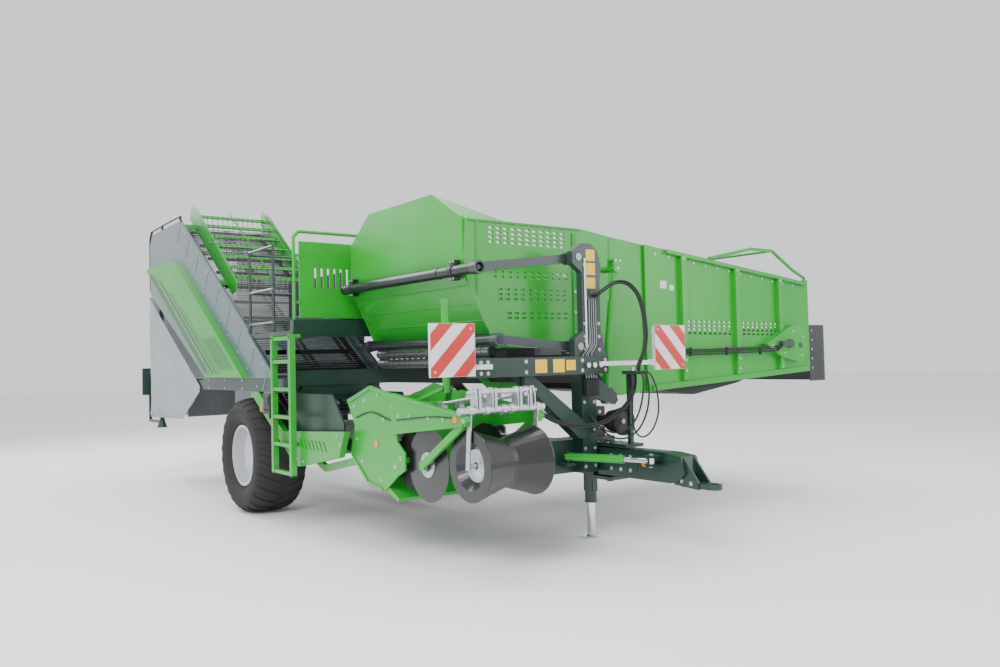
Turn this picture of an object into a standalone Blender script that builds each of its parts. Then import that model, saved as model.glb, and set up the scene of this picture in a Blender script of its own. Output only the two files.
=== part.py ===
"""Trailed one-row bunker potato harvester.

Built about a point on the ground under the middle of the axle: +X forward,
+Y to the left, +Z up, in metres. At the end the whole machine is shifted so
that the middle of its bounding box stands on the origin.
"""

import math

import bmesh
import bpy
from mathutils import Matrix, Vector

GAP = 0.0003  # between pieces that touch
RUNNING = 0.006  # between pieces that move past each other
PIN_PLAY = 0.0008

WHEEL_RADIUS = 0.665
TYRE_WIDTH = 0.60
TRACK = 2.40
RIM_RADIUS = 0.335
HUB_BORE = 0.060

RAIL_RIGHT, RAIL_LEFT = -0.40, 0.60
RAIL_WIDTH = 0.11
RAIL_LOW, RAIL_HIGH = 0.72, 0.90
RAIL_REAR = -1.60
AXLE_SIDE = 0.14
SIDE_Y = 1.40  # outer face of the upper side rails
SIDE_RAIL_LOW, SIDE_RAIL_HIGH = 1.41, 1.56
CROSS_X = 1.28  # cross beam behind the bunker
REAR_CROSS_X = -1.50
CROSS_TOP = 1.64

LOW_BEAM_REAR, LOW_BEAM_FRONT = 3.66, 3.90
LOW_BEAM_LOW, LOW_BEAM_HIGH = 0.66, 0.96
FRONT_BEAM_REAR, FRONT_BEAM_FRONT = 4.025, 4.15
FRONT_BEAM_LOW, FRONT_BEAM_HIGH = 1.56, 1.72
FRONT_BEAM_RIGHT = -1.02
MAST_REAR, MAST_FRONT = 3.945, 4.02
MAST_LEFT, MAST_RIGHT = 0.50, 0.28
MAST_TOP = 2.76

DRAWBAR_Y = 0.56
DRAWBAR_PIVOT_X = 4.03
DRAWBAR_LOW, DRAWBAR_HIGH = 0.63, 0.88
DRAWBAR_WIDTH = 0.20
EYE_X, EYE_Z = 5.24, 0.63
JACK_X = 3.76
JACK_RADIUS = 0.056
JACK_LEG_RADIUS = 0.040
JACK_FOOT_RADIUS = 0.085
JACK_FOOT_HEIGHT = 0.02
JACK_STROKE = 0.30
JACK_LEG_TOP = 0.60
JACK_BOTTOM = JACK_FOOT_HEIGHT + JACK_STROKE + 0.015  # lower end of its tube
DRAWBAR_PIN = 0.032
STEER_FOOT = (3.97, 0.10, 0.82)
STEER_EYE = (4.74, 0.36, 0.82)
STEER_RADIUS = 0.036
STEER_TRAVEL = 0.125  # each way from straight ahead
STEER_PIN = 0.015
LIFT_PIN = 0.020
DIG_PIN = 0.030
HOLDER_TOP = 1.58
HOLDER_X = 4.46  # front edge of the hose holder
# side arm behind and above the wheel: lower edge, then upper edge, as (x, z)
ARM_UPPER = [(WHEEL_RADIUS - 0.505, 1.4097), (WHEEL_RADIUS - 0.245, 1.4097), (WHEEL_RADIUS + 0.455, 1.0)]

# bunker, in cross-section (y, z); x runs from its rear wall to its front wall
BUNKER_REAR, BUNKER_FRONT = 1.44, 3.62
WALL = 0.02
SIDE_TOP = (-0.73, 2.97)
SIDE_FOLD = (-0.75, 2.62)
SIDE_BULGE = (-0.73, 2.46)
SIDE_FOOT = (-0.40, 1.93)
WALL_TOP_LEVEL = 0.63
WALL_TOP_MID = (1.10, 2.91)
FOLD_Y, FOLD_Z = 1.60, 1.56
END_Y = 4.30
END_TOP, END_LOW = 2.57, 1.50
HOOD_TOP = 3.26
BELT = 0.08

ARM_REAR, ARM_FRONT = 3.84, 3.93
MAST_UPPER = (0.24, 2.63)
MAST_LOWER = (0.24, 1.81)
BUNKER_UPPER = (-0.80, 2.50)
BUNKER_LOWER = (-0.60, 1.88)
TUBE_RADIUS = 0.05
CYLINDER_FOOT = (0.66, 1.30)
CYLINDER_HEAD = (0.83, 2.56)
CYLINDER_X = 3.885
CYLINDER_RADIUS = 0.042
CYLINDER_DRIFT = 0.035  # room round the rod's eye in its fork as the bunker lifts

# elevator
WEB_START = (1.05, 1.20)
WEB_ANGLE = math.radians(33.3)
WEB_LENGTH = 4.45
WEB_RIGHT, WEB_LEFT = -1.3093, -0.06
TABLE_Z = 2.40

# digging unit
DIG_PIVOT = (1.49, 0.80)
DIG_RIGHT, DIG_LEFT = -1.30, -0.60
DISC_RADIUS = 0.31
DISC_CENTRE = (3.76, 0.85)
DISC_RIGHT_Y, DISC_LEFT_Y = DIG_RIGHT + 0.055, DIG_LEFT - 0.055
SHAFT = (4.42, 1.25)
ROLLER_CENTRE = (4.38, 0.89)
ROLLER_RADIUS = 0.28
INTAKE_CENTRE = (3.42, 0.86)
INTAKE_RADIUS = 0.25
DIG_TUBE = (3.80, -1.08)
DIG_TUBE_TOP = 2.22
AXLE_RADIUS = 0.020
SHAFT_RADIUS = 0.028

LADDER_X = (1.02, 1.54)
LADDER_Y = -1.47
LADDER_TOP, LADDER_LOW = 2.02, 0.57
FLOOR_Z = 2.05

GREEN = (0.045, 0.47, 0.05)
DARK_GREEN = (0.013, 0.055, 0.035)
SLATE = (0.10, 0.16, 0.19)
DARK_GREY = (0.035, 0.06, 0.06)
GALVANISED = (0.55, 0.60, 0.62)
BLACK = (0.012, 0.013, 0.013)
RUBBER = (0.02, 0.02, 0.02)
CANVAS = (0.48, 0.52, 0.56)
SILVER = (0.55, 0.57, 0.60)
BOARD_WHITE = (0.65, 0.68, 0.70)


def clear_scene():
    for obj in list(bpy.data.objects):
        bpy.data.objects.remove(obj, do_unlink=True)


def new_collection(name, hidden=False):
    made = bpy.data.collections.new(name)
    made.hide_render = hidden
    bpy.context.scene.collection.children.link(made)
    return made


def link(name, mesh, collection=None):
    obj = bpy.data.objects.new(name, mesh)
    (collection or blanks).objects.link(obj)
    return obj


def finish_mesh(name, bm):
    bmesh.ops.recalc_face_normals(bm, faces=bm.faces)
    mesh = bpy.data.meshes.new(name)
    bm.to_mesh(mesh)
    bm.free()
    return link(name, mesh)


def block(x, y, z):
    """Box from its three (low, high) ranges."""
    bm = bmesh.new()
    bmesh.ops.create_cube(bm, size=1.0)
    size = [high - low for low, high in (x, y, z)]
    middle = [(high + low) / 2 for low, high in (x, y, z)]
    bmesh.ops.scale(bm, vec=size, verts=bm.verts)
    bmesh.ops.translate(bm, vec=middle, verts=bm.verts)
    return finish_mesh("block", bm)


def along(start, end):
    """Matrix whose Z runs from start to end, centred between them, with Y kept level."""
    start, end = Vector(start), Vector(end)
    z = (end - start).normalized()
    side = Vector((0, 0, 1)).cross(z)
    y = side.normalized() if side.length > 1e-6 else Vector((0, 1, 0))
    x = y.cross(z)
    turn = Matrix((x, y, z)).transposed().to_4x4()
    return Matrix.Translation((start + end) / 2) @ turn, (end - start).length


def beam(start, end, width, depth):
    """Rectangular bar: width is its level side, depth the other one."""
    place, length = along(start, end)
    bm = bmesh.new()
    bmesh.ops.create_cube(bm, size=1.0)
    bmesh.ops.scale(bm, vec=(depth, width, length), verts=bm.verts)
    bmesh.ops.transform(bm, matrix=place, verts=bm.verts)
    return finish_mesh("beam", bm)


def rod(start, end, radius, sides=16, tip=None):
    """Cylinder between two points, or a cone when tip gives its end radius."""
    place, length = along(start, end)
    bm = bmesh.new()
    bmesh.ops.create_cone(
        bm,
        cap_ends=True,
        segments=sides,
        radius1=radius,
        radius2=radius if tip is None else tip,
        depth=length,
    )
    bmesh.ops.transform(bm, matrix=place, verts=bm.verts)
    return finish_mesh("rod", bm)


def to_mesh(obj, weld=1e-5):
    """Replace a curve, or a mesh with modifiers, by its evaluated closed mesh."""
    graph = bpy.context.evaluated_depsgraph_get()
    graph.update()
    mesh = bpy.data.meshes.new_from_object(obj.evaluated_get(graph))
    bm = bmesh.new()
    bm.from_mesh(mesh)
    bmesh.ops.transform(bm, matrix=obj.matrix_world, verts=bm.verts)
    bmesh.ops.remove_doubles(bm, verts=bm.verts, dist=weld)
    bpy.data.objects.remove(obj, do_unlink=True)
    bpy.data.meshes.remove(mesh)
    return finish_mesh("solid", bm)


FLAT = {  # a flat outline's first axis, second axis and direction of extrusion
    "xy": Matrix.Identity(4),
    "xz": Matrix(((1, 0, 0, 0), (0, 0, 1, 0), (0, 1, 0, 0), (0, 0, 0, 1))),
    "yz": Matrix(((0, 0, 1, 0), (1, 0, 0, 0), (0, 1, 0, 0), (0, 0, 0, 1))),
}


def plate(plane, outline, low, high, holes=()):
    """Flat outline with holes, extruded from low to high across its plane."""
    curve = bpy.data.curves.new("plate", "CURVE")
    curve.dimensions = "2D"
    curve.fill_mode = "BOTH"
    curve.extrude = (high - low) / 2
    for loop in (outline, *holes):
        spline = curve.splines.new("POLY")
        spline.points.add(len(loop) - 1)
        for point, (u, v) in zip(spline.points, loop):
            point.co = (u, v, 0, 1)
        spline.use_cyclic_u = True
    obj = link("plate", curve)
    obj.matrix_world = FLAT[plane] @ Matrix.Translation((0, 0, (low + high) / 2))
    bpy.context.view_layer.update()
    return to_mesh(obj)


def pipe(points, radius, resolution=2):
    """Round bar that follows straight runs between points."""
    curve = bpy.data.curves.new("pipe", "CURVE")
    curve.dimensions = "3D"
    curve.bevel_depth = radius
    curve.bevel_resolution = resolution
    curve.use_fill_caps = True
    spline = curve.splines.new("POLY")
    spline.points.add(len(points) - 1)
    for point, co in zip(spline.points, points):
        point.co = (*co, 1)
    obj = link("pipe", curve)
    bpy.context.view_layer.update()
    return to_mesh(obj)


def turned(profile, centre, axis="Y", steps=32):
    """Closed (radius, height) outline turned about an axis through centre."""
    bm = bmesh.new()
    points = [bm.verts.new((r, 0, h)) for r, h in profile]
    for first, second in zip(points, points[1:] + points[:1]):
        bm.edges.new((first, second))
    mesh = bpy.data.meshes.new("turned")
    bm.to_mesh(mesh)
    bm.free()
    obj = link("turned", mesh)
    screw = obj.modifiers.new("Screw", "SCREW")
    screw.steps = screw.render_steps = steps
    screw.use_merge_vertices = True
    screw.merge_threshold = 1e-5
    turns = {"X": Matrix.Rotation(math.pi / 2, 4, "Y"), "Y": Matrix.Rotation(-math.pi / 2, 4, "X")}
    obj.matrix_world = Matrix.Translation(centre) @ turns.get(axis, Matrix.Identity(4))
    bpy.context.view_layer.update()
    return to_mesh(obj)


def boolean(base, other, operation):
    modifier = base.modifiers.new(operation.title(), "BOOLEAN")
    modifier.operation = operation
    modifier.solver = "EXACT"
    modifier.use_self = True
    modifier.object = other


def combine(base, others, operation):
    for other in others:
        boolean(base, other, operation)
    bpy.context.view_layer.update()
    made = to_mesh(base, weld=2e-6)
    for other in others:
        bpy.data.objects.remove(other, do_unlink=True)
    return made


def union(*pieces):
    return combine(pieces[0], pieces[1:], "UNION") if len(pieces) > 1 else pieces[0]


def cut(base, *cutters):
    return combine(base, cutters, "DIFFERENCE")


def round_points(centre, radius, start, end, count):
    """Points of an arc in a plane, angles in degrees."""
    steps = [math.radians(start + (end - start) * i / (count - 1)) for i in range(count)]
    return [(centre[0] + radius * math.cos(a), centre[1] + radius * math.sin(a)) for a in steps]


def add_body(name, pivot=(0, 0, 0), parent=None):
    empty = bpy.data.objects.new(name + "_body", None)
    parts.objects.link(empty)
    at = Vector(pivot)
    if parent:
        empty.parent = bodies[parent][0]
        empty.location = at - bodies[parent][1]
    else:
        empty.location = at
    bodies[name] = (empty, at)


def finish(name, body, solid, colour, roughness=0.45, metallic=0.0, smooth=30):
    """Name a solid, give it its material, and hang it on its body's pivot."""
    empty, pivot = bodies[body]
    solid.data.transform(Matrix.Translation(-pivot))
    solid.name = solid.data.name = name
    blanks.objects.unlink(solid)
    parts.objects.link(solid)
    solid.parent = empty
    material = bpy.data.materials.new(name)
    material.use_nodes = True
    shader = material.node_tree.nodes["Principled BSDF"]
    shader.inputs["Base Color"].default_value = (*colour, 1)
    shader.inputs["Roughness"].default_value = roughness
    shader.inputs["Metallic"].default_value = metallic
    solid.data.materials.append(material)
    solid.data.shade_smooth()
    solid.data.set_sharp_from_angle(angle=math.radians(smooth))


def make_bodies():
    half = TRACK / 2
    add_body("chassis")
    add_body("wheel_right", (0, -half, WHEEL_RADIUS), "chassis")
    add_body("wheel_left", (0, half, WHEEL_RADIUS), "chassis")
    add_body("drawbar", (DRAWBAR_PIVOT_X, DRAWBAR_Y, 0.75), "chassis")
    add_body("steer_barrel", STEER_FOOT, "chassis")
    add_body("steer_rod", STEER_EYE, "steer_barrel")
    add_body("jack", (JACK_X, DRAWBAR_Y, 0.3), "chassis")
    add_body("digger", (DIG_PIVOT[0], -0.9, DIG_PIVOT[1]), "chassis")
    add_body("disc_right", (DISC_CENTRE[0], DISC_RIGHT_Y, DISC_CENTRE[1]), "digger")
    add_body("disc_left", (DISC_CENTRE[0], DISC_LEFT_Y, DISC_CENTRE[1]), "digger")
    add_body("ridge_roller", (ROLLER_CENTRE[0], -0.95, ROLLER_CENTRE[1]), "digger")
    add_body("intake_wheel", (INTAKE_CENTRE[0], -1.155, INTAKE_CENTRE[1]), "digger")
    add_body("lower_arm", (ARM_REAR, *MAST_LOWER), "chassis")
    add_body("bunker", (ARM_REAR, *BUNKER_LOWER), "lower_arm")
    add_body("upper_arm", (ARM_REAR, *MAST_UPPER), "chassis")
    add_body("bunker_barrel", (CYLINDER_X, *CYLINDER_FOOT), "chassis")
    add_body("bunker_rod", (CYLINDER_X, *CYLINDER_HEAD), "bunker_barrel")
    add_body("bunker_end", (BUNKER_REAR, FOLD_Y, FOLD_Z), "bunker")
    add_body("ladder", (LADDER_X[0], LADDER_Y, LADDER_TOP), "chassis")


def make_wheel(side, y):
    half, inner = TYRE_WIDTH / 2, RIM_RADIUS
    outer, shoulder = WHEEL_RADIUS, WHEEL_RADIUS - 0.035
    bead = half - 0.075
    tyre = turned(
        [
            (outer, 0.14), (shoulder, half - 0.05), (0.57, half - 0.003), (0.48, half),
            (0.40, half - 0.03), (inner + 0.022, bead), (inner, bead),
            (inner, -bead), (inner + 0.022, -bead), (0.40, -half + 0.03),
            (0.48, -half), (0.57, -half + 0.003), (shoulder, -half + 0.05), (outer, -0.14),
        ],
        (0, y, WHEEL_RADIUS), "Y", 36,
    )
    finish("tyre_" + side, "wheel_" + side, tyre, RUBBER, 0.85)
    out = -1 if side == "right" else 1
    seat, flange = inner - GAP, inner + 0.018
    low, wall = bead + 0.001, bead + 0.016
    profile = [  # outer side first, the hub's bore opens to the machine
        (flange, wall), (flange, low), (seat, low), (seat, -low), (flange, -low), (flange, -wall),
        (seat - 0.012, -wall), (seat - 0.022, -0.06), (0.15, -0.02), (0.12, -0.06), (0.10, -0.24),
        (HUB_BORE, -0.24), (HUB_BORE, 0.04), (0, 0.04), (0, 0.10), (0.06, 0.10), (0.08, 0.03),
        (0.16, 0.02), (0.24, 0.03), (seat - 0.03, 0.11), (seat - 0.012, wall),
    ]
    rim = turned([(r, h * out) for r, h in profile], (0, y, WHEEL_RADIUS), "Y", 36)
    finish("rim_" + side, "wheel_" + side, rim, SILVER, 0.35, 0.6)


def make_axle():
    half = TRACK / 2 - TYRE_WIDTH / 2 - 0.03
    top = RAIL_LOW - GAP
    bar = block((-AXLE_SIDE / 2, AXLE_SIDE / 2), (-half, half), (top - AXLE_SIDE, top))
    pieces = [bar]
    for side in (-1, 1):
        inside, tip = side * (half - 0.08), side * (TRACK / 2 + 0.01)
        pieces.append(rod((0, inside, WHEEL_RADIUS), (0, tip, WHEEL_RADIUS), HUB_BORE - PIN_PLAY))
    finish("axle", "chassis", union(*pieces), DARK_GREEN)


def make_main_frame():
    """Two low rails, the upper rails round the elevator, their posts and the digging unit's pivot."""
    half = RAIL_WIDTH / 2
    rails = [
        block((RAIL_REAR, LOW_BEAM_REAR - GAP), (y - half, y + half), (RAIL_LOW, RAIL_HIGH))
        for y in (RAIL_RIGHT, RAIL_LEFT)
    ]
    side = (SIDE_RAIL_LOW, SIDE_RAIL_HIGH)
    length = (REAR_CROSS_X - 0.05, CROSS_X + 0.02)
    inner = (-SIDE_Y + 0.01, SIDE_Y - 0.01)
    uppers = [
        block(length, (-SIDE_Y, -SIDE_Y + 0.09), side),
        block(length, (SIDE_Y - 0.09, SIDE_Y), side),
        block((REAR_CROSS_X - 0.04, REAR_CROSS_X + 0.06), inner, side),
        block((CROSS_X - 0.06, CROSS_X + 0.06), inner, (SIDE_RAIL_LOW + 0.07, CROSS_TOP)),
    ]
    posts = [
        block((x - 0.045, x + 0.045), (y - 0.045, y + 0.045), (RAIL_HIGH - 0.02, SIDE_RAIL_HIGH - 0.06))
        for x in (REAR_CROSS_X + 0.01, CROSS_X) for y in (RAIL_RIGHT, RAIL_LEFT)
    ]
    arm_left = [
        plate("xz", [*ARM_UPPER, (1.36, 0.88), (1.36, 0.72)], SIDE_Y - 0.05, SIDE_Y - 0.02),
        block((1.25, 1.34), (RAIL_LEFT + 0.02, SIDE_Y - 0.03), (0.76, 0.84)),
    ]
    x, z = DIG_PIVOT
    dig_pin = rod((x, RAIL_RIGHT, z), (x, -SIDE_Y + 0.05 + GAP, z), DIG_PIN, 24)
    finish("main_frame", "chassis", union(*rails, *uppers, *posts, *arm_left, dig_pin), DARK_GREEN)


def drawbar_ears():
    """Plates above and below the drawbar, the plate that carries them, and the steering pin."""
    wide = (DRAWBAR_Y - 0.11, DRAWBAR_Y + 0.11)
    back = LOW_BEAM_FRONT - 0.02
    return [
        block((back, DRAWBAR_PIVOT_X + 0.33), wide, (DRAWBAR_HIGH + 0.015, DRAWBAR_HIGH + 0.045)),
        block((back, DRAWBAR_PIVOT_X + 0.13), wide, (DRAWBAR_LOW - 0.045, DRAWBAR_LOW - 0.015)),
        block((back, LOW_BEAM_FRONT + 0.02), wide, (DRAWBAR_LOW - 0.04, DRAWBAR_HIGH + 0.04)),
        rod((DRAWBAR_PIVOT_X, DRAWBAR_Y, DRAWBAR_LOW - 0.07),
            (DRAWBAR_PIVOT_X, DRAWBAR_Y, DRAWBAR_HIGH + 0.06), DRAWBAR_PIN, 24),
    ]


def cylinder_brackets():
    """Pins and plates that hold the feet of the steering and lifting cylinders."""
    x, y, z = STEER_FOOT
    steer = block((LOW_BEAM_FRONT - 0.02, x + 0.035), (y - 0.05, y + 0.06), (z - 0.085, z - 0.055))
    steer_pin = rod((x, y, z - 0.07), (x, y, z + 0.05), STEER_PIN, 16)
    (y, z), x = CYLINDER_FOOT, CYLINDER_X
    post = 0.40  # inside the left edge of the front post
    lift = plate("yz", [(post, z + 0.04), (y + 0.02, z - 0.04), (y + 0.06, z), (y + 0.04, z + 0.06),
                        (post, z + 0.26)], x + 0.055, MAST_FRONT - 0.02)
    lift_pin = rod((x - 0.045, y, z), (x + 0.08, y, z), LIFT_PIN, 16)
    return [steer, steer_pin, lift, lift_pin]


def make_front_frame():
    """Low beam, post and upper beam in front of the bunker, with what is bolted to them."""
    low_beam = block(
        (LOW_BEAM_REAR, LOW_BEAM_FRONT), (RAIL_RIGHT - 0.08, RAIL_LEFT + 0.16),
        (LOW_BEAM_LOW, LOW_BEAM_HIGH),
    )
    post = block((LOW_BEAM_FRONT - 0.02, MAST_FRONT), (0.24, 0.42), (LOW_BEAM_LOW, FRONT_BEAM_HIGH))
    front = block(
        (FRONT_BEAM_REAR - 0.015, FRONT_BEAM_FRONT), (FRONT_BEAM_RIGHT, 0.46),
        (FRONT_BEAM_LOW, FRONT_BEAM_HIGH),
    )
    brace = plate("yz", [(-0.56, 1.60), (-0.40, 1.60), (0.26, 1.12), (0.26, 0.98), (0.18, 0.98)],
                  LOW_BEAM_FRONT + 0.03, MAST_FRONT + 0.03)
    tube = rod((JACK_X, DRAWBAR_Y, JACK_BOTTOM), (JACK_X, DRAWBAR_Y, LOW_BEAM_LOW + 0.04), JACK_RADIUS, 24)
    rear = DRAWBAR_PIVOT_X + 0.26  # hose holder, on the upper ear
    holder = block((rear, rear + 0.04), (DRAWBAR_Y - 0.02, DRAWBAR_Y + 0.02),
                   (DRAWBAR_HIGH + 0.03, HOLDER_TOP - 0.01))
    shelf = block((rear, HOLDER_X), (DRAWBAR_Y - 0.07, DRAWBAR_Y + 0.09), (HOLDER_TOP - 0.03, HOLDER_TOP))
    frame = union(low_beam, post, front, brace, *drawbar_ears(), *cylinder_brackets(), tube, holder, shelf)
    bore = rod((JACK_X, DRAWBAR_Y, 0.1), (JACK_X, DRAWBAR_Y, LOW_BEAM_HIGH - 0.02),
               JACK_LEG_RADIUS + PIN_PLAY, 24)
    finish("front_frame", "chassis", cut(frame, bore), DARK_GREEN)


def make_side_arm():
    """Bent plate from the right rail down in front of the wheel to the digging unit."""
    slots = [[(x, 0.95), (x + 0.03, 0.95), (x + 0.10, 0.85), (x + 0.07, 0.85)]
             for x in (1.55 + 0.09 * i for i in range(7))]
    arm = plate("xz", [*ARM_UPPER, (2.56, 1.07), (2.44, 0.82), (1.52, 0.66), (1.40, 0.68)],
                -SIDE_Y - 0.01, -SIDE_Y + 0.05, slots)
    finish("side_arm_right", "chassis", arm, GREEN)


def make_mast():
    low = FRONT_BEAM_HIGH + GAP
    left, right, top = MAST_LEFT, MAST_RIGHT, MAST_TOP
    outline = [(0.17, low), (left + 0.06, low), (left + 0.04, 1.80), (left, 1.95), (left, 2.45),
               (left + 0.02, 2.55), (left - 0.02, top - 0.06), (left - 0.10, top), (0.28, top),
               (0.17, top - 0.08),
               (0.17, 2.57), (right, 2.49), (right, 1.95), (0.17, 1.88)]
    body = plate("yz", outline, MAST_REAR, MAST_FRONT)
    pins = [rod((ARM_REAR - 0.01, *at), (MAST_REAR + 0.02, *at), 0.035, 24)
            for at in (MAST_UPPER, MAST_LOWER)]
    finish("mast", "chassis", union(body, *pins), DARK_GREY)


def make_warning_boards():
    half, thick = 0.2115, 0.022
    for side, y in (("right", -1.29), ("left", 1.21)):
        board = block((4.205, 4.205 + thick), (y - half, y + half), (1.79 - half, 1.79 + half))
        back = block((4.17, 4.206), (y - half + 0.02, y - half + 0.06), (1.60, 1.98))
        if side == "right":
            bar = block((FRONT_BEAM_FRONT + GAP, 4.19), (y - 0.02, FRONT_BEAM_RIGHT + 0.14), (1.63, 1.67))
            joint = block((4.16, 4.207), (y - 0.03, y + 0.07), (1.62, 1.68))
        else:
            bar = block((FRONT_BEAM_FRONT + GAP, 4.19), (0.34, y - 0.06), (1.63, 1.67))
            joint = block((4.16, 4.207), (y - 0.24, y - 0.06), (1.62, 1.68))
        finish("warning_board_" + side, "chassis", union(board, back, bar, joint), BOARD_WHITE)


def web_point(distance, height=0.0):
    """Point (x, z) at a distance up the sieving web and a height off it."""
    c, s = math.cos(WEB_ANGLE), math.sin(WEB_ANGLE)
    return (WEB_START[0] - distance * c + height * s, WEB_START[1] + distance * s + height * c)


PANEL = [(-4.02, 2.85), (-4.02, 3.60), (-3.90, 3.75), (-2.46, 3.77), (0.90, SIDE_RAIL_HIGH + 0.003),
         (-1.45, SIDE_RAIL_HIGH + 0.003)]


def make_elevator():
    for side, y in (("right", -SIDE_Y), ("left", -0.04)):
        finish("elevator_side_" + side, "chassis", plate("xz", PANEL, y, y + 0.03), SLATE, 0.25)
    cover_low, cover_high = SIDE_RAIL_HIGH + 0.01, 3.20
    finish(
        "elevator_cover", "chassis",
        plate("xz", [(-3.92, cover_high), (-3.75, cover_high + 0.03), (-2.50, cover_high), (0.12, cover_low),
                     (-1.20, cover_low)], -SIDE_Y - 0.085, -SIDE_Y - GAP),
        GREEN,
    )
    half = 0.07
    belt = [web_point(0, -half), web_point(WEB_LENGTH, -half), web_point(WEB_LENGTH + half, 0),
            web_point(WEB_LENGTH, half), web_point(0, half), web_point(-half, 0)]
    finish("sieving_web", "chassis", plate("xz", belt, WEB_RIGHT, WEB_LEFT), BLACK, 0.6)


def make_comb_frame():
    """Green deflector: two side plates, cross bars and hanging fingers."""
    start, end, bars = 2.35, 4.55, 7
    pieces = []
    for y in (-1.20, -0.16):
        outline = [web_point(start, 0.20), web_point(start + 0.12, 0.08), web_point(end, 0.16),
                   web_point(end + 0.05, 0.36), web_point(end - 0.25, 0.42), web_point(start + 0.1, 0.30)]
        pieces.append(plate("xz", outline, y, y + 0.012))
    for i in range(bars):
        x, z = web_point(start + 0.25 + i * (end - start - 0.35) / (bars - 1), 0.26)
        pieces.append(block((x - 0.02, x + 0.02), (-1.195, -0.155), (z - 0.02, z + 0.02)))
    posts = [(start + 0.35, 0.12), (end - 0.35, 0.20)]
    for distance, height in posts:
        for y0, y1 in ((-1.3695, -1.195), (-0.155, -0.0405)):
            x, z = web_point(distance, height)
            pieces.append(block((x - 0.03, x + 0.03), (y0, y1), (z - 0.03, z + 0.03)))
    finish("comb_frame", "chassis", union(*pieces), GREEN)


def make_sorting_table():
    low, high, front = TABLE_Z, TABLE_Z + 0.10, CROSS_X + 0.02
    pieces = [
        block((-2.95, front), (0.02, 0.95), (low, high)),
        block((-0.30, front - 0.08), (-0.70, 0.03), (low, high)),
        block((-2.95, front), (0.93, 0.96), (low - 0.10, high + 0.22)),
        block((-0.30, front - 0.08), (-0.72, -0.69), (low - 0.10, high + 0.22)),
        block((-2.98, -2.92), (0.02, 0.96), (low - 0.05, high + 0.22)),
    ]
    for x, foot in ((REAR_CROSS_X + 0.01, SIDE_RAIL_HIGH), (CROSS_X - 0.02, CROSS_TOP)):
        pieces.append(block((x - 0.04, x + 0.04), (0.86, 0.935), (foot + GAP, low + 0.02)))
    finish("sorting_table", "chassis", union(*pieces), BLACK, 0.6)


def make_web_channel():
    """Side plates that lead the crop from the digging unit onto the sieving web."""
    low = [(1.16, 0.98), (1.16, 1.40), (2.05, 1.40), (2.30, 1.12), (2.30, 0.98)]
    right, left = -1.285, -0.48
    sides = [plate("xz", low, right, right + 0.02), plate("xz", low, left - 0.02, left)]
    floor = block((1.16, 1.40), (right + 0.01, left - 0.01), (0.98, 1.00))
    tie = block((1.20, 1.30), (right + 0.01, RAIL_RIGHT - 0.045 - GAP), (1.32, 1.38))
    hang = block((CROSS_X - 0.04, CROSS_X + 0.04), (right + 0.01, left - 0.01), (1.37, 1.48 - GAP))
    finish("web_channel", "chassis", union(*sides, floor, tie, hang), DARK_GREEN)


def make_rear_frame():
    """Rear posts that carry the canvas, their feet, and the lighting bar with its boards."""
    pieces = []
    for y in (-1.32, 1.32):
        pieces.append(block((-3.78, -3.72), (y - 0.03, y + 0.03), (0.86, 3.00)))
        pieces.append(rod((-3.75, y, 0.80), (-3.75, y, 0.93), 0.075, 16, 0.03))
        pieces.append(block((REAR_CROSS_X - 2.28, REAR_CROSS_X - 0.05 - GAP), (y - 0.03, y + 0.03),
                            (1.45, 1.53)))
        pieces.append(block((-4.40, -3.77), (y - 0.02, y + 0.02), (0.86, 0.90)))
        pieces.append(block((-4.42, -4.38), (y - 0.02, y + 0.02), (0.86, 1.50)))
        pad = sorted((y, -SIDE_Y + 0.03 + GAP)) if y < 0 else (y, y + 0.02)
        pieces.append(block((-3.77, -3.73), pad, (2.85, 2.95)))
        pieces.append(block((-3.77, -3.73), sorted((y, math.copysign(1.36 - GAP, y))), (1.00, 1.10)))
    pieces.append(block((-3.77, -3.73), (-1.33, 1.33), (2.60, 2.66)))
    pieces.append(block((-2.62, -2.58), (-1.33, 1.33), (1.45, 1.50)))
    pieces.append(block((-3.77, -3.73), (-1.33, 1.33), (1.46, 1.52)))
    pieces.append(block((-4.42, -4.38), (-1.34, 1.34), (1.46, 1.52)))
    for y in (-1.22, 1.22):
        pieces.append(block((-4.44, -4.415), (y - 0.2115, y + 0.2115), (1.28, 1.703)))
    finish("rear_frame", "chassis", union(*pieces), DARK_GREEN)


def make_curtains():
    """Canvas round the rear outlet, and the dark one under the web."""
    low, rear, half, thick = 0.94, -4.272, 1.372, 0.012
    side = [(rear, low), (-2.55, low + 0.04), (-1.75, 1.40), (-1.75, 1.44), (rear, 2.84)]
    right = plate("xz", side, -half, -half + thick)
    left = plate("xz", side, half - thick, half)
    back = block((rear, rear + thick), (-half + thick / 2, half - thick / 2), (low, 2.84))
    finish("rear_curtain", "chassis", union(right, left, back), CANVAS, 0.8)
    finish("under_curtain", "chassis",
           block((-2.606, -2.594), (-1.28, -0.60), (1.00, 1.45 - GAP)), DARK_GREY, 0.9)


def make_platform():
    floor = block((0.0, 1.34), (-SIDE_Y + 0.03 + GAP, -0.80), (FLOOR_Z - 0.04, FLOOR_Z))
    beam_front = block((1.25, 1.34), (-SIDE_Y + 0.03 + GAP, 0.84), (2.0, 2.18))
    posts = [block((x - 0.025, x + 0.025), (-1.365, -1.315), (SIDE_RAIL_HIGH + GAP, FLOOR_Z - 0.01))
             for x in (0.06, 1.17)]
    left_post = block((1.26, 1.32), (0.76, 0.82), (CROSS_TOP + GAP, 2.05))
    finish("platform", "chassis", union(floor, beam_front, *posts, left_post), DARK_GREEN)


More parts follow.
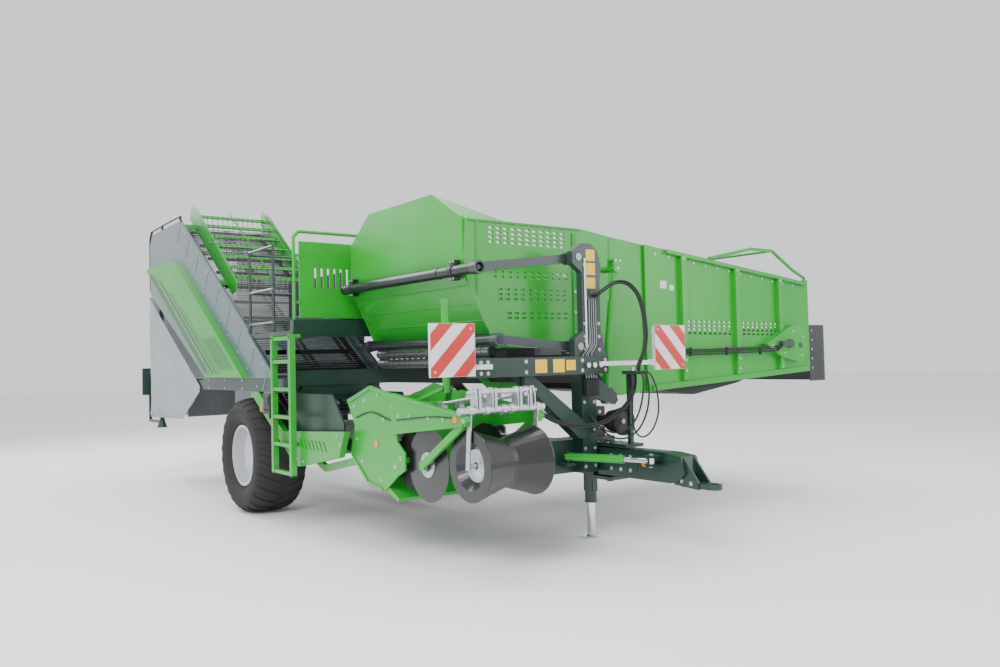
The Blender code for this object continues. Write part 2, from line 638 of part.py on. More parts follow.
def make_handrails():
    r, y, top = 0.017, -1.345, 3.03
    low = FLOOR_Z + GAP
    frame = pipe([(0.75, y, low), (0.75, y, top), (0.05, y, top), (0.05, y, low)], r)
    bars = [pipe([(0.05, y, z), (0.75, y, z)], r) for z in (2.18, 2.55)]
    inner = [pipe([(0.05, y, 3.0), (0.05, -0.80, 3.0), (0.05, -0.83, low + 0.1), (0.05, -0.83, low)], r),
             pipe([(0.05, y, 2.55), (0.05, -0.82, 2.55)], r)]
    finish("handrails", "chassis", union(frame, *bars, *inner), SLATE, 0.3)


def make_guard_panel():
    r, x = 0.02, 1.30
    slots = [[(-1.10 + i * 0.075, 2.52), (-1.07 + i * 0.075, 2.52), (-1.07 + i * 0.075, 2.74),
              (-1.10 + i * 0.075, 2.74)] for i in range(10)]
    panel = plate("yz", [(-1.27, 2.20), (-0.20, 2.20), (-0.20, 3.02), (-1.27, 3.02)], x - 0.035, x - 0.015,
                  slots)
    rail = pipe([(x, -1.34, 2.18 + GAP), (x, -1.34, 3.06), (x, -1.28, 3.12), (x, -0.25, 3.12),
                 (x, -0.21, 3.08), (x, -0.21, 2.18 + GAP)], r)
    ties = [block((x - 0.02, x), (-1.35, -1.26), (z, z + 0.03)) for z in (2.35, 2.85)]
    ties.append(block((x - 0.02, x), (-0.24, -0.195), (2.35, 2.38)))
    finish("guard_panel", "chassis", union(panel, rail, *ties), GREEN)


def make_ladder():
    (x0, x1), y = LADDER_X, LADDER_Y
    rails = [block((x, x + 0.05), (y - 0.03, y + 0.03), (LADDER_LOW, LADDER_TOP)) for x in (x0, x1 - 0.05)]
    step = (LADDER_TOP - LADDER_LOW - 0.30) / 4
    rungs = [block((x0 + 0.02, x1 - 0.02), (y - 0.025, y + 0.025),
                   (LADDER_LOW + i * step, LADDER_LOW + i * step + 0.035)) for i in range(5)]
    hooks = [block((x + 0.015, x + 0.035), (y + 0.02, -SIDE_Y + 0.03), (LADDER_TOP - 0.04, LADDER_TOP))
             for x in (x0, x1 - 0.06)]
    top_rung = (LADDER_TOP - 0.06, LADDER_TOP - 0.02)
    rungs.append(block((x0 + 0.02, x1 - 0.02), (y - 0.02, y + 0.02), top_rung))
    finish("ladder", "ladder", union(*rails, *rungs, *hooks), GREEN)


def make_drawbar():
    half = DRAWBAR_WIDTH / 2
    heel_x = DRAWBAR_PIVOT_X - 0.05
    body = plate("xz", [(heel_x, DRAWBAR_LOW), (4.85, DRAWBAR_LOW), (4.92, 0.64), (5.02, 0.72),
                        (4.98, 0.86), (4.80, DRAWBAR_HIGH), (heel_x, DRAWBAR_HIGH)],
                 DRAWBAR_Y - half, DRAWBAR_Y + half)
    heel = rod((DRAWBAR_PIVOT_X, DRAWBAR_Y, DRAWBAR_LOW),
               (DRAWBAR_PIVOT_X, DRAWBAR_Y, DRAWBAR_HIGH), half, 32)
    cheeks = [plate("xz", [(4.88, 0.62), (5.14, 0.60), (5.14, 0.66), (4.98, 0.86), (4.90, 0.86)], y, y + 0.02)
              for y in (DRAWBAR_Y - 0.075, DRAWBAR_Y + 0.055)]
    tongue = block((4.95, EYE_X), (DRAWBAR_Y - 0.065, DRAWBAR_Y + 0.065), (EYE_Z - 0.022, EYE_Z + 0.022))
    ring = rod((EYE_X, DRAWBAR_Y, EYE_Z - 0.022), (EYE_X, DRAWBAR_Y, EYE_Z + 0.022), 0.066, 24)
    x, y, z = STEER_EYE
    clear = eye_half(STEER_RADIUS) + PIN_PLAY
    lugs = [block((x - 0.04, x + 0.05), (y - 0.04, DRAWBAR_Y - half + 0.01), (z + low, z + high))
            for low, high in ((-clear - 0.02, -clear), (clear, clear + 0.02))]
    solid = union(body, heel, *cheeks, tongue, ring, *lugs)
    solid = cut(
        solid,
        rod((DRAWBAR_PIVOT_X, DRAWBAR_Y, 0.5), (DRAWBAR_PIVOT_X, DRAWBAR_Y, 1.1), DRAWBAR_PIN + PIN_PLAY, 24),
        rod((EYE_X, DRAWBAR_Y, 0.5), (EYE_X, DRAWBAR_Y, 0.8), 0.036, 24),
    )
    finish("drawbar", "drawbar", solid, DARK_GREEN)


def towards(start, end, distance):
    """Point at a distance from start on the way to end."""
    start, end = Vector(start), Vector(end)
    return tuple(start + (end - start).normalized() * distance)


def eye_half(radius):
    """Half the width of a cylinder's eyes: its rod just fits between the plates beside them."""
    return radius * 0.62 + 0.002


def make_cylinder(name, foot, eye, radius, barrel_length, axis, pin, retract=0.0):
    """Barrel with a bored eye at its foot, and its rod with an eye that holds its own pin."""
    side = Vector(axis) * eye_half(radius)
    length = (Vector(eye) - Vector(foot)).length
    inside = radius * 2.5  # solid end of the barrel
    rod_radius = radius * 0.62

    def ring(at):
        return rod(Vector(at) - side, Vector(at) + side, pin + 0.018, 16)

    body = rod(towards(foot, eye, pin + 0.008), towards(foot, eye, barrel_length), radius, 20)
    inner = rod(towards(foot, eye, inside), towards(foot, eye, barrel_length + 0.1), rod_radius + 0.003, 20)
    hole = rod(Vector(foot) - side * 2, Vector(foot) + side * 2, pin + PIN_PLAY, 16)
    finish(name + "_barrel", name + "_barrel", cut(union(ring(foot), body), hole, inner), GREEN, 0.3)
    start = towards(foot, eye, inside + 0.02 + retract)
    shaft = rod(start, towards(foot, eye, length - 0.01), rod_radius, 20)
    finish(name + "_rod", name + "_rod", union(ring(eye), shaft), GALVANISED, 0.25)


def make_jack_leg():
    leg = rod((JACK_X, DRAWBAR_Y, 0.01), (JACK_X, DRAWBAR_Y, JACK_LEG_TOP), JACK_LEG_RADIUS, 24)
    foot = rod((JACK_X, DRAWBAR_Y, 0.0), (JACK_X, DRAWBAR_Y, JACK_FOOT_HEIGHT), JACK_FOOT_RADIUS, 32)
    finish("jack_leg", "jack", union(leg, foot), GALVANISED, 0.35, 0.7)


def make_pto():
    """Gearbox on the low beam, its input shaft and the cone guard round it."""
    y, z, front = DRAWBAR_Y, 1.12, MAST_FRONT + 0.06
    cone = turned([(0.13, 0.16), (0.115, 0.16), (0.08, 0.0), (0, 0.0), (0, -0.02), (0.095, -0.02)],
                  (front, y, z), "X", 24)
    gear = block((3.68, 3.835), (0.44, 0.70), (LOW_BEAM_HIGH + GAP, 1.24))
    neck = rod((3.83, y, z), (front, y, z), 0.045, 16)
    shaft = rod((front - 0.01, y, z), (front + 0.11, y, z), 0.02, 12)
    finish("pto_guard", "chassis", union(gear, neck, cone, shaft), BLACK, 0.5)


def make_digger():
    """Green frame: side plates, swing bars, arms, share and the depth-setting tube."""
    y0, y1 = DIG_RIGHT, DIG_LEFT
    side = [(2.40, 1.36), (2.86, 1.50), (3.34, 1.42), (3.34, 1.02), (3.47, 0.93), (3.47, 0.78),
            (3.34, 0.72), (3.10, 0.56), (2.82, 0.60), (2.46, 0.86), (2.56, 1.12)]
    arm = [(3.30, 1.44), (SHAFT[0], 1.29), (SHAFT[0] + 0.03, 1.24), (SHAFT[0], 1.20), (3.30, 1.08)]
    pieces = [plate("xz", side, y0, y0 + 0.015), plate("xz", side, y1 - 0.015, y1),
              plate("xz", arm, y0 - 0.03, y0 + 0.012), plate("xz", arm, y1 - 0.012, y1 + 0.03)]
    for x, z in ((2.75, 1.36), (3.25, 1.32)):
        pieces.append(block((x - 0.03, x + 0.03), (y0 + 0.005, y1 - 0.005), (z - 0.03, z + 0.03)))
    x, z = DIG_PIVOT
    for y in (y0 + 0.025, y1 - 0.025):
        pieces.append(beam((x, y, z), (1.89, y, 0.66), 0.04, 0.07))
        pieces.append(beam((1.87, y, 0.66), (3.0, y, 0.88), 0.04, 0.07))
    pieces.append(rod((x, y0, z), (x, y1, z), DIG_PIN + 0.02, 24))
    pieces.append(plate("xz", [(2.98, 0.62), (3.32, 0.50), (3.34, 0.53), (3.00, 0.68)], y0 + 0.01, y1 - 0.01))
    x, z = DISC_CENTRE
    for y, out in ((DISC_RIGHT_Y, -1), (DISC_LEFT_Y, 1)):
        line = y + out * 0.055
        pieces.append(beam((x, line, z), (SHAFT[0] - 0.06, line, 1.21), 0.03, 0.06))
        pieces.append(rod((x, line - 0.015, z), (x, line + 0.015, z), 0.045, 20))
        pieces.append(rod((x, line, z), (x, y - out * 0.03, z), AXLE_RADIUS, 20))
    x, z = INTAKE_CENTRE
    pieces.append(rod((x, y0 + 0.002, z), (x, y0 + 0.22, z), 0.025, 20))
    (x, y), z = DIG_TUBE, 1.50
    pieces += [beam((x, y + s * 0.03, z - 0.02), (x - 0.30, y + s * 0.20, 1.34), 0.05, 0.03) for s in (-1, 1)]
    pieces.append(block((3.40, 3.55), (y0 + 0.005, y1 - 0.005), (1.31, 1.35)))
    pieces.append(rod((x, y, z - 0.06), (x, y, DIG_TUBE_TOP), 0.032, 20))
    x, z = DIG_PIVOT
    bore = rod((x, y0 - 0.1, z), (x, y1 + 0.1, z), DIG_PIN + PIN_PLAY, 24)
    solid = cut(union(*pieces), bore)
    finish("digger_frame", "digger", solid, GREEN)


def make_digger_tools():
    bore = AXLE_RADIUS + PIN_PLAY
    for side, y in (("right", DISC_RIGHT_Y), ("left", DISC_LEFT_Y)):
        disc = turned([(DISC_RADIUS, 0.002), (DISC_RADIUS, -0.002), (0.07, -0.006), (0.045, -0.02),
                       (bore, -0.02), (bore, 0.02), (0.045, 0.02), (0.07, 0.006)],
                      (DISC_CENTRE[0], y, DISC_CENTRE[1]), "Y", 40)
        finish("disc_" + side, "disc_" + side, disc, DARK_GREY, 0.4, 0.5)
    half, r = 0.312, ROLLER_RADIUS
    roller = turned(
        [(r, half), (r, half - 0.012), (r - 0.03, half - 0.10), (r - 0.085, 0.02), (r - 0.085, -0.02),
         (r - 0.03, -half + 0.10), (r, -half + 0.012), (r, -half), (r - 0.09, -half), (0.10, -half + 0.09),
         (bore, -half + 0.09), (bore, half - 0.09), (0.10, half - 0.09), (r - 0.09, half)],
        (ROLLER_CENTRE[0], (DIG_RIGHT + DIG_LEFT) / 2, ROLLER_CENTRE[1]), "Y", 40)
    finish("ridge_roller", "ridge_roller", roller, DARK_GREY, 0.35, 0.3)
    lugs = 24
    outline = []
    for i in range(lugs):
        for part, radius in ((0.0, INTAKE_RADIUS - 0.025), (0.35, INTAKE_RADIUS - 0.025),
                             (0.45, INTAKE_RADIUS), (0.90, INTAKE_RADIUS)):
            a = 2 * math.pi * (i + part) / lugs
            outline.append((INTAKE_CENTRE[0] + radius * math.cos(a), INTAKE_CENTRE[1] + radius * math.sin(a)))
    hole = round_points(INTAKE_CENTRE, 0.025 + PIN_PLAY, 0, 345, 24)
    finish("intake_wheel", "intake_wheel", plate("xz", outline, -1.205, -1.105, [hole]), RUBBER, 0.8)


def make_depth_shaft():
    """Galvanised depth-control shaft, its clamps and the ridge roller's fork."""
    x, z = SHAFT[0], 1.29 + SHAFT_RADIUS + GAP
    y0, y1 = DIG_RIGHT, DIG_LEFT
    pieces = [rod((x, y0 - 0.08, z), (x, y1 + 0.05, z), SHAFT_RADIUS, 20)]
    for y in (-1.20, -1.05, -0.80, -0.70):
        pieces.append(block((x - 0.035, x + 0.035), (y - 0.012, y + 0.012), (z - 0.01, z + 0.17)))
    pieces.append(rod((x, -1.20, z + 0.14), (x, -0.70, z + 0.14), 0.022, 16))
    for y in (y0 + 0.022, y1 - 0.022):
        pieces.append(beam((x, y, z), (ROLLER_CENTRE[0], y, ROLLER_CENTRE[1] - 0.03), 0.010, 0.05))
    pieces.append(rod((ROLLER_CENTRE[0], y0 + 0.020, ROLLER_CENTRE[1]),
                      (ROLLER_CENTRE[0], y1 - 0.020, ROLLER_CENTRE[1]), AXLE_RADIUS, 20))
    finish("depth_shaft", "digger", union(*pieces), GALVANISED, 0.3, 0.8)


def make_intake_web():
    outline = [(3.02, 0.74), (3.05, 0.80), (2.98, 0.86), (1.78, 1.10), (1.70, 1.04), (1.76, 0.98)]
    finish("intake_web", "digger", plate("xz", outline, DIG_RIGHT + 0.0453, DIG_LEFT - 0.0453), BLACK, 0.6)


def wall_outline(start, end):
    """Bunker wall outline (y, z) between two y values, from the hopper to the outer end."""
    (ty, tz), (my, mz) = SIDE_TOP, WALL_TOP_MID

    def top(y):
        if y <= WALL_TOP_LEVEL:
            return tz
        if y <= my:
            return tz + (mz - tz) * (y - WALL_TOP_LEVEL) / (my - WALL_TOP_LEVEL)
        return mz + (END_TOP - mz) * (y - my) / (END_Y - my)

    def low(y):
        return floor_low(y) - 0.12

    ys = [y for y in (WALL_TOP_LEVEL, my) if start < y < end]
    tops = [(y, top(y)) for y in (end, *reversed(ys))]
    lows = [(y, low(y)) for y in (0.55, 1.10) if start < y < end]
    lows = [(start, low(start)), *lows, (end, low(end))]
    if start < SIDE_FOOT[0]:
        lows = [(SIDE_FOOT[0] - 0.02, low(0))] + lows[1:]
        tops += [(ty, tz), SIDE_FOLD, SIDE_BULGE]
    else:
        tops += [(start, top(start))]
    return lows + tops


def floor_low(y):
    """Height of the belt's underside across the bunker."""
    if y < 0.55:
        return 1.93
    if y < 1.10:
        return 1.93 - (y - 0.55) / 0.55 * 0.49
    return 1.44 + (y - 1.10) * (1.60 - 1.44) / (END_Y - 1.10)


def cylinder_fork(wall):
    """Boss on the bunker's front wall and the two plates that the lifting cylinder's eye runs between."""
    y, z = CYLINDER_HEAD
    clear = eye_half(CYLINDER_RADIUS) + PIN_PLAY
    rear, front = CYLINDER_X - clear, CYLINDER_X + clear
    step = (wall + rear) / 2
    bridge = z + LIFT_PIN + 0.018 + CYLINDER_DRIFT
    plates = [block(x, (y - 0.05, y + 0.05), (z - 0.035, bridge + 0.025))
              for x in ((rear - 0.019, rear), (front, front + 0.019))]
    return [
        rod((wall - 0.01, y, z), (step + 0.005, y, z), 0.020, 16),
        rod((step, y, z), (rear - 0.005, y, z), 0.032, 20),
        *plates,
        block((rear - 0.01, front + 0.01), (y - 0.045, y + 0.045), (bridge, bridge + 0.02)),
    ]


def make_bunker():
    x0, x1 = BUNKER_REAR, BUNKER_FRONT
    lap = FOLD_Y - 0.04
    front = plate("yz", wall_outline(-1, lap), x1 - WALL, x1)
    finish("bunker_front_wall", "bunker", union(front, *cylinder_fork(x1)), GREEN)
    back = plate("yz", wall_outline(-1, lap), x0, x0 + WALL)
    mouth = block((x0 - 0.1, x0 + 0.1), (-0.45, 1.0), (2.52, 2.85))
    finish("bunker_rear_wall", "bunker", cut(back, mouth), GREEN)
    inner0, inner1 = x0 + WALL + GAP, x1 - WALL - GAP
    t = 0.015
    (fy, fz), (gy, gz), (by, bz), (sy, sz) = SIDE_TOP, SIDE_FOLD, SIDE_BULGE, SIDE_FOOT
    profile = [(gy, fz - 0.31), (gy, gz), (by, bz), (sy, sz), (sy + t, sz), (by + t, bz), (gy + t, gz),
               (gy + t, fz - 0.31)]
    side = plate("yz", profile, inner0, inner1)
    pieces = [side]
    for (cy, cz), rear in ((BUNKER_UPPER, 1.39), (BUNKER_LOWER, 1.30)):
        rear = max(rear, x0 - 0.035)
        pieces.append(rod((rear, cy, cz), (ARM_REAR - 0.006, cy, cz), TUBE_RADIUS, 20))
    pieces.append(rod((ARM_REAR - 0.02, *BUNKER_LOWER), (ARM_FRONT + 0.005, *BUNKER_LOWER), 0.035, 24))
    pieces.append(rod((ARM_REAR - 0.02, *BUNKER_UPPER), (ARM_FRONT - 0.02, *BUNKER_UPPER), 0.022, 24))
    for x in (x0 + 0.14, x1 - 0.10):
        pieces.append(block((x - 0.035, x + 0.035), (BUNKER_UPPER[0] - 0.02, gy + 0.01), (2.41, 2.61)))
        pieces.append(block((x - 0.035, x + 0.035), (BUNKER_LOWER[0] - 0.02, sy + 0.002), (1.86, 1.95)))
    finish("bunker_side", "bunker", union(*pieces), GREEN)
    make_hood(inner0, inner1)
    make_inner_floor(inner0, inner1)


def hull(points):
    bm = bmesh.new()
    for point in points:
        bm.verts.new(point)
    bmesh.ops.convex_hull(bm, input=bm.verts)
    return finish_mesh("hull", bm)


def make_hood(x0, x1):
    """Hip-roofed cap over the hopper's right side, with the upright part of the side under it."""
    y0, y1, low = SIDE_FOLD[0], -0.26, SIDE_TOP[1]
    r0, r1 = x0 + 0.42, x1 - 0.49
    outer = hull([(x0 - 0.002, y0, low), (x1 + 0.002, y0, low), (x0 - 0.002, y1, low), (x1 + 0.002, y1, low),
                  (r0, y0, HOOD_TOP), (r1, y0, HOOD_TOP)])
    base = block((x0, x1), (y0, y0 + 0.02), (SIDE_TOP[1] - 0.31 + GAP, low + 0.02))
    t = 0.025
    inner = hull([(x0 + 0.02, y0 + t, low - 0.03), (x1 - 0.02, y0 + t, low - 0.03),
                  (x0 + 0.02, y1 - 0.04, low - 0.03), (x1 - 0.02, y1 - 0.04, low - 0.03),
                  (r0 + 0.01, y0 + t, HOOD_TOP - 0.05), (r1 - 0.01, y0 + t, HOOD_TOP - 0.05)])
    cap = cut(union(outer, base), inner,
              block((x0 - 0.1, x1 + 0.1), (y0 + t - 0.001, 0), (low - 0.5, low + GAP)))
    finish("bunker_hood", "bunker", cap, GREEN)


def make_inner_floor(x0, x1):
    end = FOLD_Y - 0.03
    top = [(end, floor_low(end) + BELT), (1.10, floor_low(1.10) + BELT), (0.55, floor_low(0.55) + BELT),
           (SIDE_FOOT[0] + 0.03, floor_low(0) + BELT)]
    low = [(SIDE_FOOT[0] + 0.03, floor_low(0)), (0.55, floor_low(0.55)), (1.10, floor_low(1.10)),
           (end, floor_low(end))]
    belt = plate("yz", low + top, x0, x1)
    rollers = []
    for z in (1.79, 1.69):
        rollers.append(rod((x0 + 0.01, -0.42, z), (x1 - 0.01, -0.42, z), 0.046, 12))
    ends = [plate("yz", [(-0.46, 1.64), (-0.34, 1.64), (-0.20, 1.95), (-0.34, 1.95)], x, x + 0.02)
            for x in (x0, x1 - 0.02)]
    finish("bunker_floor", "bunker", union(belt, *rollers, *ends), BLACK, 0.6)


def make_extension():
    x0, x1 = BUNKER_REAR - 2 * WALL - RUNNING, BUNKER_FRONT + WALL + RUNNING
    start = FOLD_Y - 0.10
    front = [plate("yz", wall_outline(start, END_Y), x1 - WALL + 0.006, x1 + 0.006)]
    rib0, rib1 = x1, x1 + 0.055
    for y in (2.05, 2.95, 3.75):
        top = 2.91 + (END_TOP - 2.91) * (y - 1.10) / (END_Y - 1.10)
        front.append(block((rib0, rib1), (y - 0.04, y + 0.04), (floor_low(y) - 0.10, top - 0.01)))
    lip = beam((x1 + 0.025, start + 0.30, 2.91 + (END_TOP - 2.91) * (start - 0.80) / (END_Y - 1.10)),
               (x1 + 0.025, END_Y - 0.01, END_TOP - 0.02), 0.05, 0.04)
    front.append(lip)
    cover = [(3.40, 1.82), (3.86, 2.02), (4.0, 2.05), (4.12, 2.0), (4.20, 1.88), (4.18, 1.70), (4.05, 1.60),
             (3.70, 1.66)]
    front.append(plate("yz", cover, rib0, x1 + 0.09))
    front.append(rod((x1 + 0.08, 3.84, 1.82), (x1 + 0.13, 3.84, 1.82), 0.05, 16))
    finish("extension_front_wall", "bunker_end", union(*front), GREEN)
    back = plate("yz", wall_outline(start, END_Y), x0, x0 + WALL)
    finish("extension_rear_wall", "bunker_end", back, GREEN)
    inner0, inner1 = x0 + WALL + GAP, x1 - WALL + 0.006 - GAP
    begin = FOLD_Y + 0.03
    belt = plate("yz", [(begin, floor_low(begin)), (END_Y - 0.06, floor_low(END_Y)),
                        (END_Y - 0.02, floor_low(END_Y) + BELT / 2),
                        (END_Y - 0.06, floor_low(END_Y) + BELT),
                        (begin, floor_low(begin) + BELT)], inner0, inner1)
    roller = rod((inner0, 3.55, floor_low(3.55) - 0.04), (inner1, 3.55, floor_low(3.55) - 0.04), 0.045, 16)
    finish("extension_floor", "bunker_end", union(belt, roller), BLACK, 0.6)
    make_end_frame(x0, x1 + 0.006)
    make_end_flap(x0, x1)
    y0, y1 = 1.75, 3.40
    canvas = plate("yz", [(y0, floor_low(y0) - GAP), (y0, floor_low(y0) - 0.13),
                          (y0 + 0.5, floor_low(y0) - 0.19), (y1 - 0.4, floor_low(y1) - 0.17),
                          (y1, floor_low(y1) - 0.06), (y1, floor_low(y1) - GAP)],
                   inner0 + 0.02, inner1 - 0.02)
    finish("under_canvas", "bunker_end", canvas, BLACK, 0.9)


def make_end_frame(x0, x1):
    """Outer end posts, their cross beam and the bent tube over the opening."""
    y0, y1 = END_Y + GAP, END_Y + 0.07
    posts = [block((a, b), (y0, y1), (END_LOW - 0.02, END_TOP + 0.03)) for a, b in
             ((x0, x0 + 0.06), (x1 - 0.06, x1))]
    cross = block((x0 + 0.01, x1 - 0.01), (y0 + 0.005, y1 - 0.005), (END_LOW - 0.01, END_LOW + 0.05))
    r = 0.020
    tubes = [pipe([(x, END_Y + 0.037, END_TOP - 0.013), (x, END_Y + 0.037, END_TOP + 0.06), (x, 4.10, 2.72),
                   (x, 3.70, 2.93), (x, 3.30, 2.93), (x, 2.55, 2.78)], r) for x in (x0 + 0.024, x1 - 0.024)]
    over = rod((x0 + 0.024, 3.70, 2.93), (x1 - 0.024, 3.70, 2.93), r * 0.8, 12)
    hoop = union(tubes[0], over, tubes[1])
    finish("end_frame", "bunker_end", union(posts[0], cross, posts[1], hoop), GREEN)


def make_end_flap(x0, x1):
    """Rubber chute round the discharge end, U-shaped in plan."""
    y0 = END_Y + 0.07 + GAP
    t, deep, bend = 0.014, 0.40, 0.12
    front, rear = x1 + 0.006, x0
    outer = [(front, y0), (front, y0 + deep - bend)]
    outer += round_points((front - bend, y0 + deep - bend), bend, 0, 90, 6)
    outer += round_points((rear + bend, y0 + deep - bend), bend, 90, 180, 6)
    outer += [(rear, y0)]
    inner = [(rear + t, y0)]
    inner += round_points((rear + bend, y0 + deep - bend), bend - t, 180, 90, 6)
    inner += round_points((front - bend, y0 + deep - bend), bend - t, 90, 0, 6)
    inner += [(front - t, y0)]
    finish("end_flap", "bunker_end", plate("xy", outer + inner, 1.36, 2.05), RUBBER, 0.5)


def make_arms():
    for name, mast_at, bunker_at, hole in (
        ("upper_arm", MAST_UPPER, BUNKER_UPPER, 0.042),
        ("lower_arm", MAST_LOWER, BUNKER_LOWER, 0.035 + PIN_PLAY),
    ):
        a, b = Vector(mast_at), Vector(bunker_at)
        d = (b - a).normalized()
        n = Vector((-d.y, d.x)) * 0.04
        outline = [tuple(p) for p in (a + n, a - n, b - n, b + n)]
        bar = plate("yz", outline, ARM_REAR + 0.005, ARM_FRONT - 0.005)
        boss = rod((ARM_REAR, *mast_at), (ARM_FRONT, *mast_at), 0.06, 24)
        sleeve = rod((ARM_REAR, *bunker_at), (ARM_FRONT, *bunker_at), max(hole + 0.016, 0.06), 24)
        solid = cut(
            union(bar, boss, sleeve),
            rod((ARM_REAR - 0.1, *mast_at), (ARM_FRONT + 0.1, *mast_at), 0.035 + PIN_PLAY, 24),
            rod((ARM_REAR - 0.1, *bunker_at), (ARM_FRONT + 0.1, *bunker_at), hole, 24),
        )
        finish(name, name, solid, DARK_GREY)


def smooth(route, spacing):
    """Points of a Catmull-Rom curve through a route, about a spacing apart."""
    points = [Vector(p) for p in route]
    ends = [points[0] * 2 - points[1], *points, points[-1] * 2 - points[-2]]
    made = []
    for a, b, c, d in zip(ends, ends[1:], ends[2:], ends[3:]):
        steps = max(1, round((c - b).length / spacing))
        for i in range(steps):
            t = i / steps
            made.append(0.5 * (2 * b + (c - a) * t + (2 * a - 5 * b + 4 * c - d) * t * t
                               + (3 * b - a - 3 * c + d) * t ** 3))
    return [tuple(p) for p in (*made, points[-1])]


HOSE_ROUTE = [
    (MAST_FRONT + GAP, 0.42, 2.28), (4.06, 0.42, 2.28), (4.13, 0.45, 2.33),
    (4.20, 0.53, 2.39), (4.25, 0.63, 2.38),
    (4.29, 0.72, 2.28), (4.32, 0.76, 2.10), (4.35, 0.75, 1.90), (4.375, 0.69, 1.75), (4.39, 0.62, 1.66),
    (4.39, 0.60, 1.62), (4.39, 0.60, HOLDER_TOP + GAP),
]
LOOP_ROUTE = [
    (HOLDER_X + GAP, 0.60, 1.565), (4.50, 0.60, 1.565), (4.53, 0.62, 1.53), (4.55, 0.66, 1.40),
    (4.54, 0.68, 1.20), (4.49, 0.64, 1.04), (4.44, 0.56, 0.99), (4.41, 0.50, 1.08),
    (4.40, 0.50, 1.25), (4.40, 0.51, 1.38), (4.40, 0.51, 1.455),
]
DIG_HOSE_ROUTE = [
    (4.09, -0.50, FRONT_BEAM_LOW - GAP), (4.09, -0.50, 1.50), (4.10, -0.48, 1.42), (4.14, -0.42, 1.30),
    (4.20, -0.24, 1.17),
    (4.24, 0.0, 1.11), (4.29, 0.25, 1.13), (4.34, 0.42, 1.23), (4.362, 0.53, 1.35), (4.362, 0.575, 1.46),
    (4.362, 0.575, HOLDER_TOP - 0.03 - GAP),
]


def make_hoses():
    for name, route, radius in (
        ("hose_bundle", HOSE_ROUTE, 0.026),
        ("digger_hoses", DIG_HOSE_ROUTE, 0.024),
        ("cable_loop", LOOP_ROUTE, 0.009),
    ):
        finish(name, "chassis", pipe(smooth(route, radius * 5), radius), BLACK, 0.5)
    x, y, z = LOOP_ROUTE[-1]
    plug = rod((x, y, z + GAP), (x, y, HOLDER_TOP - 0.03 - GAP), 0.018, 16)
    finish("cable_plug", "chassis", plug, BLACK)


def place_on_ground():
    """Shift the machine so that the middle of its box stands on the origin."""
    bpy.context.view_layer.update()
    corners = [obj.matrix_world @ Vector(c) for obj in parts.objects if obj.type == "MESH"
               for c in obj.bound_box]
    low = [min(c[i] for c in corners) for i in range(3)]
    high = [max(c[i] for c in corners) for i in range(3)]
    bodies["chassis"][0].location = (-(low[0] + high[0]) / 2, -(low[1] + high[1]) / 2, -low[2])
    bpy.context.view_layer.update()


def main():
    make_bodies()
    for side, sign in (("right", -1), ("left", 1)):
        make_wheel(side, sign * TRACK / 2)
    make_axle()
    make_main_frame()
    make_front_frame()
    make_side_arm()
    make_mast()
    make_warning_boards()
    make_elevator()
    make_comb_frame()
    make_sorting_table()
    make_web_channel()
    make_rear_frame()
    make_curtains()
    make_platform()
    make_handrails()
    make_guard_panel()
    make_ladder()
    make_drawbar()
    make_cylinder("steer", STEER_FOOT, STEER_EYE, STEER_RADIUS, 0.56, (0, 0, 1), STEER_PIN, STEER_TRAVEL)
    make_jack_leg()
    make_pto()
    make_digger()
    make_digger_tools()
    make_depth_shaft()
    make_intake_web()
    make_bunker()
    make_extension()
    make_arms()
    make_cylinder("bunker", (CYLINDER_X, *CYLINDER_FOOT), (CYLINDER_X, *CYLINDER_HEAD), CYLINDER_RADIUS, 0.95,
                  (1, 0, 0), LIFT_PIN)
    make_hoses()
    place_on_ground()


bodies = {}
clear_scene()
blanks = new_collection("working_pieces", hidden=True)
parts = new_collection("potato_harvester")
main()
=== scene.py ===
import math

import bmesh
import bpy
from mathutils import Matrix, Vector


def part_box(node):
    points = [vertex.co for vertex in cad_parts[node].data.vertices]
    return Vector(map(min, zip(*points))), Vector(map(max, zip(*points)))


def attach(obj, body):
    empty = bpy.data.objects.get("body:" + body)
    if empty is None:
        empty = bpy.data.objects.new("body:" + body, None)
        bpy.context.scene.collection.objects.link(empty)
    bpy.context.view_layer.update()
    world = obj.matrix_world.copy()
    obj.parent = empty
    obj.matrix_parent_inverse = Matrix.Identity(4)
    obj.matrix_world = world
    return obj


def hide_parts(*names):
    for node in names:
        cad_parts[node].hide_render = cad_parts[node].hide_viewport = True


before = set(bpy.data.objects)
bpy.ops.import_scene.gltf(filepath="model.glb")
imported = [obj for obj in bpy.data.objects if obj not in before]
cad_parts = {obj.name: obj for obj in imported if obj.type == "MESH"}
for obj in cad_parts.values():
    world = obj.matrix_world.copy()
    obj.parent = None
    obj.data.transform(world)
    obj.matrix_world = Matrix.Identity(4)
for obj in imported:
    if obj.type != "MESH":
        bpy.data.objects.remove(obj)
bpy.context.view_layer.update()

# The pieces below are placed about the ground point under the axle's middle.
tyreLow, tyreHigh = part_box("tyre_right")
shift = Vector(((tyreLow.x + tyreHigh.x) / 2, (tyreLow.y + tyreHigh.y) / 2 + 1.2, 0))


